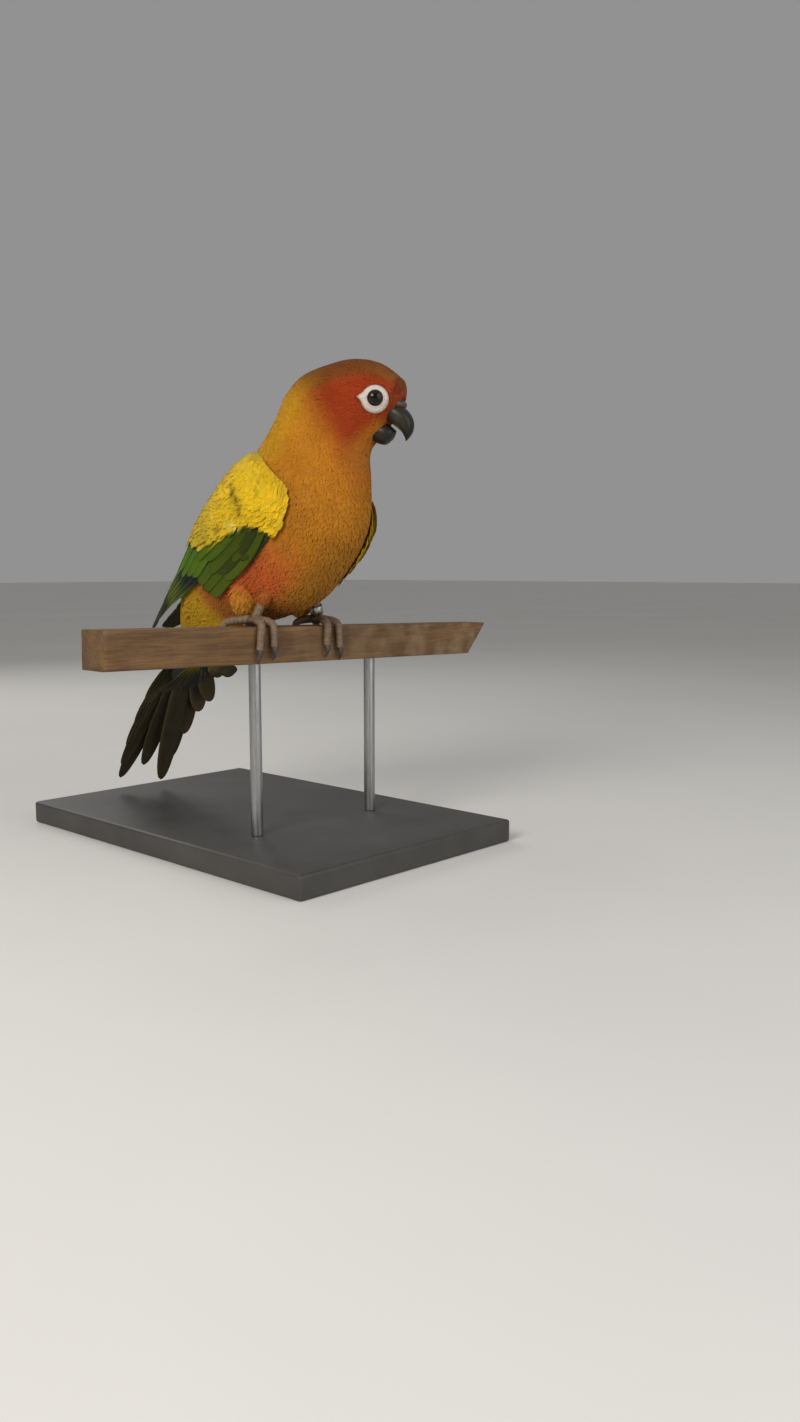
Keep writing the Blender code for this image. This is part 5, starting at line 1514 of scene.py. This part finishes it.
perch = {"side": 18.0, "length": 258.0, "slant": 15.0, "bevel": 0.9, "middle": (-5.0, 19.0, -9.0)}
woodMaterial, woodTree, woodShader = newMaterial("perchWood", 0.72)
woodPlace = woodTree.nodes.new("ShaderNodeTexCoord")
woodStretch = woodTree.nodes.new("ShaderNodeMapping")
woodStretch.inputs["Scale"].default_value = (1.0, 0.06, 1.0)
woodTree.links.new(woodPlace.outputs["Object"], woodStretch.inputs["Vector"])
woodGrain = noiseNode(woodTree, woodStretch.outputs[0], 900.0, 5.0, 0.65)
woodBroad = noiseNode(woodTree, woodStretch.outputs[0], 160.0, 3.0, 0.55)
woodPatches = noiseNode(woodTree, woodPlace.outputs["Object"], 70.0, 5.0, 0.6)
woodColour = mixColours(woodTree, rangeNode(woodTree, woodBroad, 0.35, 0.65, 0.0, 1.0), rgb(92, 64, 34), rgb(122, 88, 48))
woodColour = mixColours(woodTree, rangeNode(woodTree, woodGrain, 0.42, 0.62, 0.0, 0.55), woodColour, rgb(74, 50, 28))
woodParts = woodTree.nodes.new("ShaderNodeSeparateXYZ")
woodTree.links.new(woodPlace.outputs["Object"], woodParts.inputs[0])
woodPale = rangeNode(woodTree, woodParts.outputs["Y"], -0.04, 0.12, 0.12, 0.8)  # paler patches, more of them towards the point
woodPaleShare = mathNode(woodTree, "MULTIPLY", rangeNode(woodTree, woodPatches, 0.42, 0.64, 0.1, 1.0), woodPale)
woodColour = mixColours(woodTree, woodPaleShare, woodColour, rgb(150, 124, 92))
woodTree.links.new(woodColour, woodShader.inputs["Base Color"])
woodTree.links.new(rangeNode(woodTree, woodGrain, 0.3, 0.7, 0.62, 0.85), woodShader.inputs["Roughness"])
bumpNode(woodTree, mathNode(woodTree, "ADD", woodGrain, woodBroad), 0.5, 0.0004, woodShader)


def makePerch():
    side, bevel = perch["side"] / 2, perch["bevel"]
    outline = []
    for corner in range(4):
        start = corner * math.pi / 2
        middle = np.sign([math.cos(start + math.pi / 4), math.sin(start + math.pi / 4)]) * (side - bevel)
        for a in np.linspace(start, start + math.pi / 2, 6):
            outline.append(middle + bevel * np.array([math.cos(a), math.sin(a)]))
        onward = np.array([-math.cos(start), -math.sin(start)])  # along the flat side to the next corner
        for share in np.linspace(0, 1, 8)[1:-1]:
            outline.append(outline[corner * 12 + 5] + onward * share * 2 * (side - bevel))
    outline = np.array(outline)
    steps = 120
    y = np.linspace(-perch["length"] / 2, perch["length"] / 2, steps)
    rings = []
    for k, at in enumerate(y):
        slant = perch["slant"] * (at / perch["length"] + 0.5) ** 8
        depth = (side - outline[:, 1]) / (2 * side)
        wear = np.array([noise.noise(Vector((p[0] * 0.35, at * 0.045, p[1] * 0.35))) for p in outline])
        scale = 1 - np.clip(0.012 + 0.012 * wear, 0, 0.03)
        rings.append(np.stack([outline[:, 0] * scale, at - slant * depth, outline[:, 1] * scale], -1))
    rings = np.array(rings) + np.array(perch["middle"])
    piece = solidObject("perch_timber", rings, True)
    return dress(piece, woodMaterial, "perch_wood", "perch")


makePerch()

paintMaterial, paintTree, paintShader = newMaterial("standPaint", 0.5)
paintPatches = useGroup(paintTree, softMottle, Scale=35.0, Low=0.0, High=1.0)
paintTree.links.new(mixColours(paintTree, paintPatches["Shade"], rgb(58, 56, 54), rgb(70, 68, 65)), paintShader.inputs["Base Color"])
paintFine = noiseNode(paintTree, paintTree.nodes.new("ShaderNodeTexCoord").outputs["Object"], 900.0, 3.0, 0.6)
bumpNode(paintTree, paintFine, 0.12, 0.0002, paintShader)
rodMaterial, rodTree, rodShader = newMaterial("rodSteel", 0.3, 1.0)
rodPlace = rodTree.nodes.new("ShaderNodeTexCoord")
rodStretch = rodTree.nodes.new("ShaderNodeMapping")
rodStretch.inputs["Scale"].default_value = (1.0, 1.0, 0.03)
rodTree.links.new(rodPlace.outputs["Object"], rodStretch.inputs["Vector"])
rodLines = noiseNode(rodTree, rodStretch.outputs[0], 2600.0, 4.0, 0.6)
rodTree.links.new(mixColours(rodTree, rodLines, rgb(128, 128, 128), rgb(190, 190, 190)), rodShader.inputs["Base Color"])
rodTree.links.new(rangeNode(rodTree, rodLines, 0.3, 0.7, 0.22, 0.42), rodShader.inputs["Roughness"])
for nodeName, material in (("stand_base", paintMaterial), ("stand_rod_1", rodMaterial), ("stand_rod_2", rodMaterial)):
    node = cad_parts[nodeName]
    node.data.materials.clear()
    node.data.materials.append(material)
print("perch and stand made")

view = {
    "imageSize": (800, 1422), "heading": math.radians(43), "pitch": math.radians(7.3),
    "distance": 547.0, "pixelsFocal": 1095.0, "feetPixel": (293, 626),
}
studio = {
    "world": (0.82, 0.82, 0.82), "worldStrength": 0.35,
    "floor": rgb(226, 224, 220),
    # Name, place from the bird in millimetres as (right, up, towards the camera), size in metres, watts, colour.
    "lights": (
        ("key", (-380, 460, 840), 0.5, 6.8, (1.0, 0.97, 0.92)),
        ("fill", (760, 260, 520), 0.9, 3.2, (0.97, 0.98, 1.0)),
        ("rim", (-500, 520, -760), 0.6, 2.0, (1.0, 0.98, 0.95)),
    ),
}
right = np.array([math.cos(view["heading"]), math.sin(view["heading"]), 0.0])
level = np.array([-math.sin(view["heading"]), math.cos(view["heading"]), 0.0])
forward = level * math.cos(view["pitch"]) - np.array([0, 0, 1.0]) * math.sin(view["pitch"])
upward = np.cross(right, forward)
shift = [(pixel - size / 2) / view["pixelsFocal"] * view["distance"]
         for pixel, size in zip(view["feetPixel"], view["imageSize"])]
cameraPlace = np.array(setting["feetPlace"]) - (right * shift[0] - upward * shift[1] + forward * view["distance"])
cameraData = bpy.data.cameras.new("camera")
camera = bpy.data.objects.new("camera", cameraData)
bpy.context.scene.collection.objects.link(camera)
cameraData.sensor_width = 36.0
cameraData.lens = view["pixelsFocal"] / max(view["imageSize"]) * cameraData.sensor_width
camera.matrix_world = Matrix((Vector(right), Vector(upward), Vector(-forward))).transposed().to_4x4()
camera.location = Vector(cameraPlace) * mm
bpy.context.scene.camera = camera
birdMiddle = np.array(setting["feetPlace"]) + np.array([-30, 0, 30])
for lightName, (across, high, near), size, power, colour in studio["lights"]:
    light = bpy.data.lights.new(lightName, "AREA")
    light.shape = "DISK"
    light.size = size
    light.energy = power
    light.color = colour
    lamp = bpy.data.objects.new(lightName, light)
    bpy.context.scene.collection.objects.link(lamp)
    spot = birdMiddle + right * across + np.array([0, 0, 1.0]) * high - level * near
    lamp.location = Vector(spot) * mm
    lamp.rotation_mode = "QUATERNION"
    lamp.rotation_quaternion = (Vector(birdMiddle - spot)).to_track_quat("-Z", "Y")
world = bpy.data.worlds.new("studio")
world.use_nodes = True
world.node_tree.nodes["Background"].inputs["Color"].default_value = (*studio["world"], 1.0)
world.node_tree.nodes["Background"].inputs["Strength"].default_value = studio["worldStrength"]
bpy.context.scene.world = world
floorMaterial, floorTree, floorShader = newMaterial("floorPaper", 0.85)
floorPatches = useGroup(floorTree, softMottle, Scale=3.0, Low=0.97, High=1.02)
floorColour = floorTree.nodes.new("ShaderNodeRGB")
floorColour.outputs[0].default_value = (*studio["floor"], 1.0)
floorTree.links.new(scaled(floorTree, floorColour.outputs[0], floorPatches["Shade"]), floorShader.inputs["Base Color"])
floorMesh = bpy.data.meshes.new("floor")
floorMesh.from_pydata([(-12, -12, 0), (12, -12, 0), (12, 12, 0), (-12, 12, 0)], [], [(0, 1, 2, 3)])
floor = bpy.data.objects.new("floor", floorMesh)
floor.data.materials.append(floorMaterial)
bpy.context.scene.collection.objects.link(floor)
floor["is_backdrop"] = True
bpy.context.scene.view_settings.view_transform = "Standard"
print("camera, light and floor made")

low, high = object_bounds()
